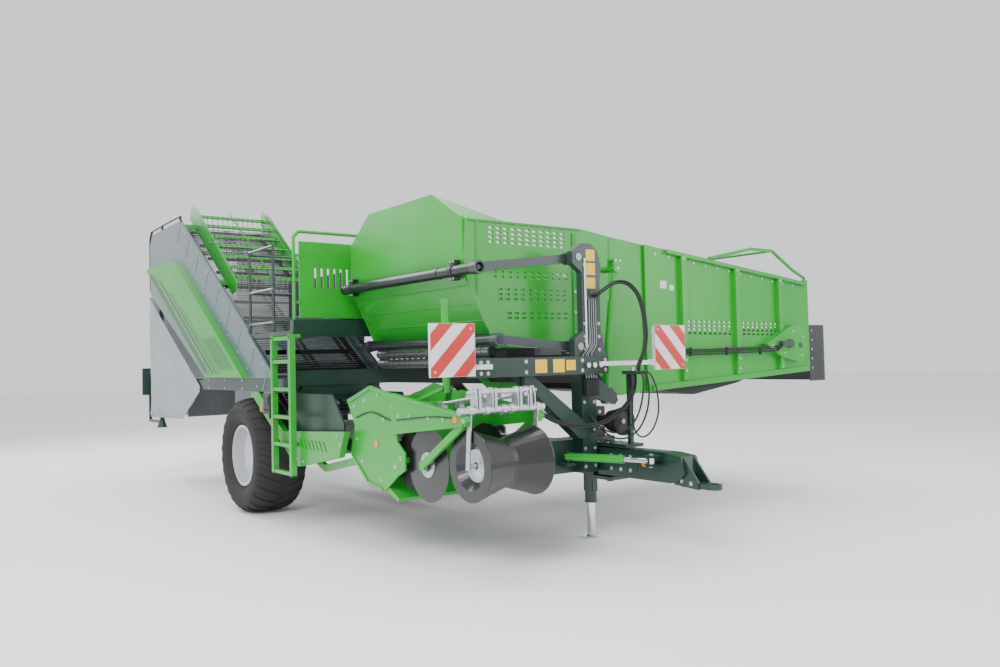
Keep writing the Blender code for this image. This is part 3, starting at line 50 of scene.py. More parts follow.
# camera, floor, light
def setCamera():
    yaw, pitch, roll = math.radians(36.84), math.radians(1.78), math.radians(-1.33)
    d = Vector((-math.cos(yaw) * math.cos(pitch), math.sin(yaw) * math.cos(pitch), math.sin(pitch)))
    r = d.cross(Vector((0, 0, 1))).normalized()
    u = r.cross(d)
    right = math.cos(roll) * r + math.sin(roll) * u
    up = -math.sin(roll) * r + math.cos(roll) * u
    data = bpy.data.cameras.new("camera")
    data.lens, data.sensor_width, data.clip_end = 30.82, 36, 200
    cam = bpy.data.objects.new("camera", data)
    bpy.context.scene.collection.objects.link(cam)
    turn = Matrix((right, up, -d)).transposed().to_4x4()
    cam.matrix_world = Matrix.Translation(Vector((9.823, -5.019, 1.703)) + shift) @ turn
    bpy.context.scene.camera = cam


def setStage():
    bm = bmesh.new()
    bmesh.ops.create_grid(bm, x_segments=1, y_segments=1, size=60)
    mesh = bpy.data.meshes.new("floor")
    bm.to_mesh(mesh)
    bm.free()
    floor = bpy.data.objects.new("floor", mesh)
    bpy.context.scene.collection.objects.link(floor)
    material = bpy.data.materials.new("floorMat")
    material.use_nodes = True
    shader = material.node_tree.nodes["Principled BSDF"]
    shader.inputs["Base Color"].default_value = (0.92, 0.92, 0.92, 1)
    shader.inputs["Roughness"].default_value = 0.9
    mesh.materials.append(material)
    world = bpy.data.worlds.new("studio")
    world.use_nodes = True
    world.node_tree.nodes["Background"].inputs["Color"].default_value = (0.97, 0.985, 1.0, 1)
    world.node_tree.nodes["Background"].inputs["Strength"].default_value = 1.12
    bpy.context.scene.world = world
    for name, place, aim, size, power in (
        ("keyLight", (9, -9, 9), (1, 0, 1.2), 6, 1350),
        ("fillLight", (10, 6, 5), (2, 0.5, 1.5), 6, 220),
        ("rimLight", (-9, -3, 8), (-1, 0, 1.5), 6, 700),
        ("topLight", (1, 1, 11), (1, 0, 0), 9, 700),
    ):
        data = bpy.data.lights.new(name, "AREA")
        data.size, data.energy = size, power
        lamp = bpy.data.objects.new(name, data)
        bpy.context.scene.collection.objects.link(lamp)
        lamp.location = Vector(place) + shift
        lamp.rotation_euler = (Vector(aim) + shift - lamp.location).to_track_quat("-Z", "Y").to_euler()


# materials
def nodeGraph(name):
    material = bpy.data.materials.new(name)
    material.use_nodes = True
    return material, material.node_tree.nodes, material.node_tree.links


def noiseOn(nodes, links, scale, detail=3.0):
    coords = nodes.new("ShaderNodeTexCoord")
    noise = nodes.new("ShaderNodeTexNoise")
    noise.inputs["Scale"].default_value = scale
    noise.inputs["Detail"].default_value = detail
    links.new(coords.outputs["Object"], noise.inputs["Vector"])
    return noise


def addBump(nodes, links, source, strength, distance):
    bump = nodes.new("ShaderNodeBump")
    bump.inputs["Strength"].default_value = strength
    bump.inputs["Distance"].default_value = distance
    links.new(source, bump.inputs["Height"])
    links.new(bump.outputs["Normal"], nodes["Principled BSDF"].inputs["Normal"])


def tintBy(nodes, links, source, dark, light, low=0.35, high=0.65):
    ramp = nodes.new("ShaderNodeValToRGB")
    ramp.color_ramp.elements[0].position, ramp.color_ramp.elements[1].position = low, high
    ramp.color_ramp.elements[0].color, ramp.color_ramp.elements[1].color = (*dark, 1), (*light, 1)
    links.new(source, ramp.inputs["Fac"])
    links.new(ramp.outputs["Color"], nodes["Principled BSDF"].inputs["Base Color"])


def paint(name, color, rough=0.32, metal=0.0, coat=0.25, vary=0.10, bump=0.02, grain=60.0):
    material, nodes, links = nodeGraph(name)
    shader = nodes["Principled BSDF"]
    shader.inputs["Metallic"].default_value = metal
    shader.inputs["Roughness"].default_value = rough
    shader.inputs["Coat Weight"].default_value = coat
    shader.inputs["Coat Roughness"].default_value = 0.15
    wide = noiseOn(nodes, links, 2.2)
    tintBy(nodes, links, wide.outputs["Fac"], [c * (1 - vary) for c in color], color)
    fine = noiseOn(nodes, links, grain, 2.0)
    addBump(nodes, links, fine.outputs["Fac"], bump, 0.002)
    return material


def galvanised():
    material, nodes, links = nodeGraph("galvanised")
    shader = nodes["Principled BSDF"]
    shader.inputs["Metallic"].default_value = 0.85
    shader.inputs["Roughness"].default_value = 0.38
    coords = nodes.new("ShaderNodeTexCoord")
    cells = nodes.new("ShaderNodeTexVoronoi")
    cells.inputs["Scale"].default_value = 55
    links.new(coords.outputs["Object"], cells.inputs["Vector"])
    tintBy(nodes, links, cells.outputs["Distance"], (0.42, 0.46, 0.48), (0.66, 0.70, 0.72), 0.2, 0.8)
    return material


def rubber(name, color=(0.020, 0.020, 0.021), rough=0.72, grain=120.0, bump=0.25):
    return paint(name, color, rough=rough, coat=0.0, vary=0.35, bump=bump, grain=grain)


def canvas(name, color, rough=0.85):
    material, nodes, links = nodeGraph(name)
    nodes["Principled BSDF"].inputs["Roughness"].default_value = rough
    wide = noiseOn(nodes, links, 1.6)
    tintBy(nodes, links, wide.outputs["Fac"], [c * 0.86 for c in color], color)
    weave = nodes.new("ShaderNodeTexWave")
    weave.inputs["Scale"].default_value = 140
    weave.inputs["Distortion"].default_value = 1.5
    coords = nodes.new("ShaderNodeTexCoord")
    links.new(coords.outputs["Object"], weave.inputs["Vector"])
    addBump(nodes, links, weave.outputs["Fac"], 0.25, 0.001)
    return material


green = paint("greenPaint", (0.014, 0.34, 0.022))
greenInner = paint("greenInner", (0.013, 0.30, 0.021), rough=0.45, coat=0.05)
darkGreen = paint("darkGreen", (0.008, 0.036, 0.024), rough=0.38)
slate = paint("slatePaint", (0.080, 0.125, 0.148), rough=0.22, coat=0.5, vary=0.06)
darkGrey = paint("darkGrey", (0.030, 0.048, 0.046), rough=0.35)
lightGrey = paint("lightGrey", (0.42, 0.44, 0.46), rough=0.4)
whitePaint = paint("whitePaint", (0.72, 0.73, 0.74), rough=0.4)
redSheet = paint("redSheet", (0.56, 0.012, 0.010), rough=0.35, coat=0.4)
orange = paint("orangeLens", (0.85, 0.16, 0.012), rough=0.2, coat=0.6, bump=0.1, grain=180.0)
yellow = paint("yellowSticker", (0.85, 0.50, 0.004), rough=0.4, coat=0.2)
darkPaint = paint("darkTubePaint", (0.008, 0.014, 0.014), rough=0.36, coat=0.2)
blackPaint = paint("blackPaint", (0.010, 0.011, 0.012), rough=0.28, coat=0.3)
darkStripe = paint("darkStripe", (0.006, 0.07, 0.022), rough=0.35, coat=0.3)
silver = paint("rimSilver", (0.56, 0.58, 0.61), rough=0.32, metal=0.35, coat=0.2)
steel = paint("bareSteel", (0.36, 0.37, 0.38), rough=0.35, metal=0.9, coat=0)
blackPlastic = paint("blackPlastic", (0.014, 0.015, 0.016), rough=0.42, coat=0.0)
blackRubber = rubber("blackRubber")
webRubber = rubber("webRubber", (0.022, 0.023, 0.024), rough=0.6)
flapRubber = rubber("flapRubber", (0.040, 0.045, 0.046), rough=0.5, bump=0.1)
treadRubber = rubber("treadRubber", (0.024, 0.0235, 0.0225), rough=0.82, grain=70.0, bump=0.35)
midCanvas = canvas("midCanvas", (0.12, 0.13, 0.14))
lightCanvas = canvas("lightCanvas", (0.36, 0.385, 0.41))
darkCanvas = canvas("darkCanvas", (0.020, 0.022, 0.023), 0.7)
galv = galvanised()
chromed = paint("chrome", (0.72, 0.73, 0.75), rough=0.08, metal=1.0, coat=0, vary=0.03, bump=0.0)
print("materials ready")


# shapes
def placed(name, bm):
    # vertices are given about the axle's middle; the object's origin stays at the frame's
    bmesh.ops.translate(bm, vec=shift, verts=bm.verts)
    bmesh.ops.recalc_face_normals(bm, faces=bm.faces)
    mesh = bpy.data.meshes.new(name)
    bm.to_mesh(mesh)
    bm.free()
    obj = bpy.data.objects.new(name, mesh)
    bpy.context.scene.collection.objects.link(obj)
    return obj


def addBlock(bm, x, y, z):
    size = [high - low for low, high in (x, y, z)]
    middle = Vector([(high + low) / 2 for low, high in (x, y, z)])
    made = bmesh.ops.create_cube(bm, size=1.0)["verts"]
    bmesh.ops.scale(bm, vec=size, verts=made)
    bmesh.ops.translate(bm, vec=middle, verts=made)


def alongMatrix(start, end):
    start, end = Vector(start), Vector(end)
    z = (end - start).normalized()
    side = Vector((0, 0, 1)).cross(z)
    y = side.normalized() if side.length > 1e-5 else Vector((0, 1, 0))
    x = y.cross(z)
    turn = Matrix((x, y, z)).transposed().to_4x4()
    return Matrix.Translation((start + end) / 2) @ turn, (end - start).length


def addRod(bm, start, end, radius, sides=12, tip=None):
    place, length = alongMatrix(start, end)
    made = bmesh.ops.create_cone(
        bm, cap_ends=True, segments=sides, radius1=radius, radius2=radius if tip is None else tip, depth=length
    )["verts"]
    bmesh.ops.transform(bm, matrix=place, verts=made)


def addBeam(bm, start, end, width, depth):
    place, length = alongMatrix(start, end)
    made = bmesh.ops.create_cube(bm, size=1.0)["verts"]
    bmesh.ops.scale(bm, vec=(depth, width, length), verts=made)
    bmesh.ops.transform(bm, matrix=place, verts=made)


def bakedMesh(obj):
    # the object's mesh with its modifiers applied
    bpy.context.view_layer.update()
    return bpy.data.meshes.new_from_object(obj.evaluated_get(bpy.context.evaluated_depsgraph_get()))


def addCurve(bm, curve, turn=None):
    # joins a curve's surface to bm
    obj = bpy.data.objects.new("curve", curve)
    bpy.context.scene.collection.objects.link(obj)
    mesh = bakedMesh(obj)
    bpy.data.objects.remove(obj)
    if turn:
        mesh.transform(turn)
    before = len(bm.verts)
    bm.from_mesh(mesh)
    bpy.data.meshes.remove(mesh)
    bm.verts.ensure_lookup_table()
    bmesh.ops.remove_doubles(bm, verts=bm.verts[before:], dist=1e-5)


planes = {
    "xy": Matrix.Identity(4),
    "xz": Matrix(((1, 0, 0, 0), (0, 0, 1, 0), (0, 1, 0, 0), (0, 0, 0, 1))),
    "yz": Matrix(((0, 0, 1, 0), (1, 0, 0, 0), (0, 1, 0, 0), (0, 0, 0, 1))),
}


def addPlate(bm, plane, outline, low, high, holes=(), edge=0.0):
    curve = bpy.data.curves.new("plate", "CURVE")
    curve.dimensions, curve.fill_mode = "2D", "BOTH"
    curve.extrude = (high - low) / 2 - edge
    curve.bevel_depth = edge
    curve.bevel_resolution = 1
    curve.offset = -edge
    for loop in (outline, *holes):
        spline = curve.splines.new("POLY")
        spline.points.add(len(loop) - 1)
        for point, (u, v) in zip(spline.points, loop):
            point.co = (u, v, 0, 1)
        spline.use_cyclic_u = True
    addCurve(bm, curve, planes[plane] @ Matrix.Translation((0, 0, (low + high) / 2)))


def addTube(bm, points, radius, resolution=2):
    curve = bpy.data.curves.new("tube", "CURVE")
    curve.dimensions = "3D"
    curve.bevel_depth, curve.bevel_resolution, curve.use_fill_caps = radius, resolution, True
    spline = curve.splines.new("POLY")
    spline.points.add(len(points) - 1)
    for point, co in zip(spline.points, points):
        point.co = (*co, 1)
    addCurve(bm, curve)


def smooth(route, spacing):
    points = [Vector(p) for p in route]
    ends = [points[0] * 2 - points[1], *points, points[-1] * 2 - points[-2]]
    made = []
    for a, b, c, d in zip(ends, ends[1:], ends[2:], ends[3:]):
        steps = max(1, round((c - b).length / spacing))
        for i in range(steps):
            t = i / steps
            made.append(0.5 * (2 * b + (c - a) * t + (2 * a - 5 * b + 4 * c - d) * t * t
                               + (3 * b - a - 3 * c + d) * t ** 3))
    return [tuple(p) for p in (*made, points[-1])]


def piece(name, bm, body, material, replaced=(), easing=0.0, angle=32):
    obj = placed(name, bm)
    obj.data.materials.append(material)
    if easing:
        bevel = obj.modifiers.new("ease", "BEVEL")
        bevel.width, bevel.segments, bevel.limit_method = easing, 1, "ANGLE"
        bevel.angle_limit = math.radians(40)
        bevel.use_clamp_overlap = True
        mesh = bakedMesh(obj)
        obj.modifiers.clear()
        old, obj.data = obj.data, mesh
        bpy.data.meshes.remove(old)
    obj.data.shade_smooth()
    obj.data.set_sharp_from_angle(angle=math.radians(angle))
    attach(obj, body)
    if replaced:
        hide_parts(*replaced)
    return obj


# CAD nodes keep their shape and take these materials
nodeMaterials = {
    green: ["side_arm_right", "elevator_cover", "comb_frame", "guard_panel", "ladder", "steer_barrel", "digger_frame",
            "bunker_front_wall", "bunker_rear_wall", "bunker_side", "bunker_hood", "extension_front_wall",
            "extension_rear_wall", "end_frame", "bunker_barrel", "bunker_rod"],
    darkGreen: ["main_frame", "front_frame", "axle", "rear_frame", "platform", "web_channel", "drawbar"],
    slate: ["elevator_side_right", "elevator_side_left"],
    darkGrey: ["mast", "upper_arm", "lower_arm", "handrails"],
    blackPaint: ["disc_right", "disc_left", "ridge_roller"],
    webRubber: ["sieving_web", "sorting_table", "intake_web", "bunker_floor", "extension_floor"],
    blackRubber: ["tyre_right", "tyre_left", "intake_wheel", "hose_bundle", "digger_hoses", "cable_loop"],
    flapRubber: ["end_flap"],
    silver: ["rim_right", "rim_left"],
    galv: ["depth_shaft"],
    chromed: ["jack_leg", "steer_rod"],
    lightCanvas: ["rear_curtain"],
    darkCanvas: ["under_curtain", "under_canvas"],
    blackPlastic: ["pto_guard", "cable_plug"],
    whitePaint: ["warning_board_right", "warning_board_left"],
}
for material, names in nodeMaterials.items():
    for name in names:
        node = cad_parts[name]
        node.data.materials.clear()
        node.data.materials.append(material)
print("frame painted")

setCamera()
setStage()
# hoses and cables, declared before the rest
hoseBundle = {"count": 4, "radius": 0.0085, "spread": 0.0135, "route": [
    (4.0203, 0.42, 2.28), (4.06, 0.42, 2.28), (4.13, 0.45, 2.33), (4.20, 0.53, 2.39), (4.25, 0.63, 2.38),
    (4.29, 0.72, 2.28), (4.32, 0.76, 2.10), (4.35, 0.75, 1.90), (4.375, 0.69, 1.75), (4.39, 0.62, 1.66),
    (4.39, 0.60, 1.62), (4.39, 0.60, 1.5803)]}
diggerHoses = {"count": 3, "radius": 0.0095, "spread": 0.0125, "route": [
    (4.09, -0.50, 1.5597), (4.09, -0.50, 1.50), (4.10, -0.48, 1.42), (4.14, -0.42, 1.30), (4.20, -0.24, 1.17),
    (4.24, 0.0, 1.11), (4.29, 0.25, 1.13), (4.34, 0.42, 1.23), (4.362, 0.53, 1.35), (4.362, 0.575, 1.46),
    (4.362, 0.575, 1.5497)]}
cableLoop = {"radius": 0.008, "route": [
    (4.4603, 0.60, 1.565), (4.50, 0.60, 1.565), (4.53, 0.62, 1.53), (4.55, 0.66, 1.40), (4.54, 0.68, 1.20),
    (4.49, 0.64, 1.04), (4.44, 0.56, 0.99), (4.41, 0.50, 1.08), (4.40, 0.50, 1.25), (4.40, 0.51, 1.38),
    (4.40, 0.51, 1.455)]}


def beside(points, angle, distance):
    # the same line moved sideways, its offset carried along without twisting
    points = [Vector(p) for p in points]
    steps = [(b - a).normalized() for a, b in zip(points, points[1:])]
    steps.append(steps[-1])
    side = steps[0].orthogonal().normalized()
    side = Matrix.Rotation(angle, 3, steps[0]) @ side
    made = []
    for point, step in zip(points, steps):
        side = (side - step * side.dot(step)).normalized()
        made.append(tuple(point + side * distance))
    return made


def addCord(name, points, radius, replaced):
    bm = bmesh.new()
    addTube(bm, points, radius, 2)
    obj = piece(name, bm, "chassis", blackRubber, replaced=replaced)
    return obj


for name, node, setting in (("mastHose", "hose_bundle", hoseBundle), ("diggerHose", "digger_hoses", diggerHoses)):
    middle = smooth(setting["route"], 0.03)
    for i in range(setting["count"]):
        angle = 2 * math.pi * i / setting["count"] + 0.4
        addCord(f"{name}{i + 1}", beside(middle, angle, setting["spread"]), setting["radius"], (node,))
plug = bmesh.new()
addRod(plug, (4.40, 0.51, 1.4553), (4.40, 0.51, 1.475), 0.011, 16, 0.016)
addRod(plug, (4.40, 0.51, 1.475), (4.40, 0.51, 1.530), 0.018, 20)
addRod(plug, (4.40, 0.51, 1.530), (4.40, 0.51, 1.5497), 0.015, 20)
for i in range(5):
    addRod(plug, (4.40, 0.51, 1.480 + i * 0.009), (4.40, 0.51, 1.484 + i * 0.009), 0.0192, 20)
plug = piece("cablePlug", plug, "chassis", blackPlastic, replaced=("cable_plug",))
addCord("lampCable", smooth(cableLoop["route"], 0.03), cableLoop["radius"], ("cable_loop",))
feedHoses = (
    (0.0085, [(4.4603, 0.57, 1.565), (4.50, 0.57, 1.56), (4.53, 0.57, 1.50), (4.53, 0.58, 1.36), (4.50, 0.57, 1.20),
              (4.44, 0.53, 1.06), (4.36, 0.46, 0.985), (4.26, 0.40, 0.985), (4.16, 0.36, 1.05), (4.08, 0.34, 1.14),
              (4.0203, 0.335, 1.17)]),
    (0.0085, [(4.4603, 0.53, 1.565), (4.49, 0.53, 1.56), (4.515, 0.53, 1.50), (4.51, 0.52, 1.36), (4.47, 0.50, 1.20),
              (4.41, 0.46, 1.09), (4.33, 0.40, 1.035), (4.23, 0.35, 1.045), (4.13, 0.31, 1.11), (4.07, 0.30, 1.18),
              (4.0203, 0.295, 1.21)]),
)
for i, (radius, route) in enumerate(feedHoses):
    addCord(f"feedHose{i + 1}", smooth(route, 0.03), radius, ())
print("cords ready")


# repeated small shapes, placed by geometry nodes
def repeatGroup():
    group = bpy.data.node_groups.new("repeatShape", "GeometryNodeTree")
    for name, kind in (("Places", "NodeSocketGeometry"), ("Shape", "NodeSocketObject"),
                       ("Coat", "NodeSocketMaterial")):
        group.interface.new_socket(name, in_out="INPUT", socket_type=kind)
    group.interface.new_socket("Result", in_out="OUTPUT", socket_type="NodeSocketGeometry")
    add, join = group.nodes.new, group.links.new
    source, result = add("NodeGroupInput"), add("NodeGroupOutput")
    info, turn = add("GeometryNodeObjectInfo"), add("GeometryNodeInputNamedAttribute")
    turn.data_type = "FLOAT_VECTOR"
    turn.inputs["Name"].default_value = "turn"
    rotate, onPoints = add("FunctionNodeEulerToRotation"), add("GeometryNodeInstanceOnPoints")
    real, coat = add("GeometryNodeRealizeInstances"), add("GeometryNodeSetMaterial")
    join(source.outputs["Places"], onPoints.inputs["Points"])
    join(source.outputs["Shape"], info.inputs["Object"])
    join(info.outputs["Geometry"], onPoints.inputs["Instance"])
    join(turn.outputs["Attribute"], rotate.inputs["Euler"])
    join(rotate.outputs["Rotation"], onPoints.inputs["Rotation"])
    join(onPoints.outputs["Instances"], real.inputs["Geometry"])
    join(real.outputs["Geometry"], coat.inputs["Geometry"])
    join(source.outputs["Coat"], coat.inputs["Material"])
    join(coat.outputs["Geometry"], result.inputs["Result"])
    return group


repeatShape = repeatGroup()


def repeated(bm, shape, places, material):
    # adds a copy of the shape at every place, each a point and its three turns, then frees the shape
    shapeMesh = bpy.data.meshes.new("shape")
    bmesh.ops.recalc_face_normals(shape, faces=shape.faces)
    shape.to_mesh(shapeMesh)
    shape.free()
    shapeObj = bpy.data.objects.new("shape", shapeMesh)
    bpy.context.scene.collection.objects.link(shapeObj)
    points = bpy.data.meshes.new("places")
    points.from_pydata([tuple(p) for p, _ in places], [], [])
    turns = points.attributes.new("turn", "FLOAT_VECTOR", "POINT")
    turns.data.foreach_set("vector", [v for _, t in places for v in t])
    obj = bpy.data.objects.new("places", points)
    bpy.context.scene.collection.objects.link(obj)
    modifier = obj.modifiers.new("repeat", "NODES")
    modifier.node_group = repeatShape
    sockets = {item.name: item.identifier for item in repeatShape.interface.items_tree if item.in_out == "INPUT"}
    modifier[sockets["Shape"]] = shapeObj
    modifier[sockets["Coat"]] = material
    made = bakedMesh(obj)
    bm.from_mesh(made)
    for old in (obj, shapeObj):
        bpy.data.objects.remove(old)
    for old in (made, points, shapeMesh):
        bpy.data.meshes.remove(old)


def facing(axis):
    # turns that point a shape's +Z along an axis
    return tuple(Vector(axis).to_track_quat("Z", "Y").to_euler())


def addBolts(name, body, places, radius):
    shape = bmesh.new()
    addRod(shape, (0, 0, -0.002), (0, 0, 0.002), radius * 1.7, 12)
    addRod(shape, (0, 0, 0.001), (0, 0, radius * 0.8), radius, 6)
    bm = bmesh.new()
    repeated(bm, shape, [(p, facing(a)) for p, a in places], galv)
    piece(name, bm, body, galv)


# canvas behind the elevator
curtain = {"rear": -4.272, "half": 1.372, "low": 0.94, "high": 2.83, "fold": 0.011, "steps": 0.022}


def curtainEdge(x):
    # lower and upper edge of the canvas side at x
    front = -1.78
    high = 1.43 + (curtain["high"] - 1.43) * (front - x) / (front - curtain["rear"])
    low = curtain["low"] + 0.04 * (x - curtain["rear"]) / 1.72
    if x > -2.55:
        low = 0.98 + (1.40 - 0.98) * (x + 2.55) / 0.77
    return low, max(high, low + 0.02)


def curtainLine():
    # (x, y, normal) round the outlet, from the right front over the back to the left front
    rear, half = curtain["rear"] + 0.004, curtain["half"] - 0.006
    bend, step, made = 0.05, curtain["steps"], []
    x = -1.80
    while x > rear + bend:
        made.append((x, -half, Vector((0, -1, 0))))
        x -= step
    for i in range(6):
        a = math.radians(90 * i / 5)
        out = Vector((-math.sin(a), -math.cos(a), 0))
        made.append((rear + bend + bend * out.x, -half + bend + bend * out.y, out))
    y = -half + bend + step
    while y < half - bend:
        made.append((rear, y, Vector((-1, 0, 0))))
        y += step
    return made + [(x, -y, Vector((n.x, -n.y, 0))) for x, y, n in reversed(made[:made.index(next(
        m for m in made if m[2].x < -0.999 and m[1] > -half + bend))])]


def clothFrom(name, grid, bm, thickness, material, node):
    # one cloth from columns of points, in place of its CAD node
    for a, b in zip(grid, grid[1:]):
        for j in range(len(a) - 1):
            bm.faces.new((a[j], b[j], b[j + 1], a[j + 1]))
    obj = placed(name, bm)
    thick = obj.modifiers.new("thick", "SOLIDIFY")
    thick.thickness, thick.offset = thickness, 0
    mesh = bakedMesh(obj)
    obj.modifiers.clear()
    obj.data = mesh
    mesh.materials.append(material)
    mesh.shade_smooth()
    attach(obj, "chassis")
    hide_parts(node)
    return obj


def makeCurtain():
    line = curtainLine()
    rows = 48
    bm = bmesh.new()
    grid, run = [], 0.0
    for i, (x, y, out) in enumerate(line):
        if i:
            run += math.hypot(x - line[i - 1][0], y - line[i - 1][1])
        low, high = curtainEdge(x)
        column = []
        for j in range(rows + 1):
            v = j / rows
            z = low + (high - low) * v
            loose = 1 - v ** 3
            deep = math.sin(run * 9.3 + 1.7 * math.sin(z * 1.9) + 0.6 * math.sin(run * 2.7))
            fine = math.sin(run * 31 + z * 7 + 2.2 * math.sin(z * 4.1 + run))
            cross = math.sin(z * 21 + run * 4 + 1.5 * math.sin(run * 3.3)) * math.sin(run * 2.1) ** 2
            move = curtain["fold"] * (0.62 * deep * loose + 0.16 * fine * loose + 0.22 * cross) - 0.006
            if j in (1, 2):
                move += 0.0015
            column.append(bm.verts.new((x + out.x * move, y + out.y * move, z)))
        grid.append(column)
    obj = clothFrom("rearCanvas", grid, bm, 0.0022, lightCanvas, "rear_curtain")
    hem, seams = bmesh.new(), []
    for zone in (0.985, 0.03):
        points = []
        for x, y, out in line[::2]:
            low, high = curtainEdge(x)
            points.append((x + out.x * 0.001, y + out.y * 0.001, low + (high - low) * zone))
        seams.append(points)
    for points in seams:
        for a, b in zip(points, points[1:]):
            addBeam(hem, a, b, 0.007, 0.030)
    hem = piece("canvasHem", hem, "chassis", lightCanvas)


makeCurtain()


def makeUnderCurtain():
    bm = bmesh.new()
    grid = []
    for i in range(37):
        y = -1.28 + 0.68 * i / 36
        grid.append([bm.verts.new((-2.600 + 0.005 * math.sin(y * 52 + 1.3 * math.sin(z * 5)) * (1.45 - z) / 0.45,
                                   y, z)) for z in [1.0 + 0.4497 * j / 18 for j in range(19)]])
    obj = clothFrom("underCanvas", grid, bm, 0.002, midCanvas, "under_curtain")


makeUnderCurtain()
print("canvas ready")

# wheels
tyre = {"radius": 0.665, "carcass": 0.648, "width": 0.60, "lugs": 26, "lugWide": 0.050, "slant": 0.155}


def tyreRadius(y, outer):
    # tread radius at y from the tyre's middle
    shoulder = [(0.0, 0.0), (0.14, 0.002), (0.20, 0.014), (0.25, 0.034), (0.285, 0.062), (0.297, 0.095)]
    y = abs(y)
    for (a, drop), (b, next_) in zip(shoulder, shoulder[1:]):
        if y <= b:
            return outer - drop - (next_ - drop) * (y - a) / (b - a)
    return outer - shoulder[-1][1]


def joinRings(bm, rings):
    # faces between each ring of points and the next, the last joined to the first
    for a, b in zip(rings, rings[1:] + rings[:1]):
        for k in range(len(a)):
            m = (k + 1) % len(a)
            bm.faces.new((a[k], b[k], b[m], a[m]))


def makeTyre(side, y):
    carcass = tyre["carcass"]
    ys = [-0.297, -0.285, -0.25, -0.20, -0.14, 0, 0.14, 0.20, 0.25, 0.285, 0.297]
    profile = [(0.335, -0.225), (0.357, -0.226), (0.372, -0.238), (0.378, -0.250), (0.384, -0.252),
               (0.42, -0.280), (0.47, -0.297), (0.520, -0.299), (0.524, -0.296), (0.53, -0.299)]
    profile += [(tyreRadius(v, carcass), v) for v in ys]
    profile += [(r, -h) for r, h in reversed(profile[:10])]
    steps = 72
    bm = bmesh.new()
    rings = []
    for i in range(steps):
        a = 2 * math.pi * i / steps
        rings.append([bm.verts.new((r * math.cos(a), y + h, 0.665 + r * math.sin(a))) for r, h in profile])
    joinRings(bm, rings)
    for sign in (1, -1):
        lug = bmesh.new()
        rows = []
        for k in range(8):
            v = 0.018 + (0.290 - 0.018) * k / 7
            turn = tyre["slant"] * k / 7
            high = tyreRadius(v, tyre["radius"])
            wide = tyre["lugWide"] * (0.75 + 0.45 * k / 7) / 2
            row = []
            for r, w in ((high - 0.045, wide * 1.25), (high, wide), (high, -wide), (high - 0.045, -wide * 1.25)):
                a = turn + w / r
                row.append(lug.verts.new((r * math.cos(a), v * sign, r * math.sin(a))))
            rows.append(row)
        for a, b in zip(rows, rows[1:]):
            for k in range(4):
                lug.faces.new((a[k], a[(k + 1) % 4], b[(k + 1) % 4], b[k]))
        lug.faces.new(rows[0])
        lug.faces.new(rows[-1])
        half = 0.5 if sign > 0 else 0.0
        places = [((0, y, 0.665), (0, 2 * math.pi * (i + half) / tyre["lugs"], 0)) for i in range(tyre["lugs"])]
        repeated(bm, lug, places, treadRubber)
    piece("tyre" + side.title(), bm, "wheel_" + side, treadRubber, replaced=("tyre_" + side,), angle=38)
    out = -1 if side == "right" else 1
    nuts = []
    for i in range(10):
        a = 2 * math.pi * (i + 0.5) / 10
        nuts.append(((0.115 * math.cos(a), y + out * 0.0265, 0.665 + 0.115 * math.sin(a)), (0, out, 0)))
    addBolts("wheelNuts" + side.title(), "wheel_" + side, nuts, 0.013)
    hub = bmesh.new()
    addRod(hub, (0, y + out * 0.098, 0.665), (0, y + out * 0.118, 0.665), 0.052, 24, 0.040)
    addRod(hub, (0, y + out * 0.112, 0.665), (0, y + out * 0.124, 0.665), 0.018, 16)
    addRod(hub, (0.27, y + out * 0.06, 0.665), (0.275, y + out * 0.15, 0.665), 0.006, 8)
    piece("hubCap" + side.title(), hub, "wheel_" + side, silver)


makeTyre("right", -1.2)
makeTyre("left", 1.2)
print("wheels ready")

# bunker walls with their perforations
wallSlots = {"long": 0.056, "high": 0.024, "pitch": 0.085, "row": 0.043}


def slotHole(y, z, long, high):
    # rounded slot as a loop of points
    r, points = high / 2, []
    for centre, start in ((long / 2 - r, -90), (-(long / 2 - r), 90)):
        for i in range(5):
            a = math.radians(start + 180 * i / 4)
            points.append((y + centre + r * math.cos(a), z + r * math.sin(a)))
    return points


def slotRows(y0, y1, heights, slope=0.0, skip=()):
    # slots in rows, as loops, left out near the posts in skip
    holes, s = [], wallSlots
    count = int((y1 - y0) / s["pitch"]) + 1
    for z in heights:
        for i in range(count):
            y = y0 + i * s["pitch"]
            if all(abs(y - post) > 0.085 for post in skip):
                holes.append(slotHole(y, z + slope * (y - y0), s["long"], s["high"]))
    return holes


def floorLow(y):
    if y < 0.55:
        return 1.93
    if y < 1.10:
        return 1.93 - (y - 0.55) / 0.55 * 0.49
    return 1.44 + (y - 1.10) * 0.16 / 3.2


def wallTop(y):
    if y <= 0.63:
        return 2.97
    if y <= 1.10:
        return 2.97 - 0.06 * (y - 0.63) / 0.47
    return 2.91 - 0.34 * (y - 1.10) / 3.2


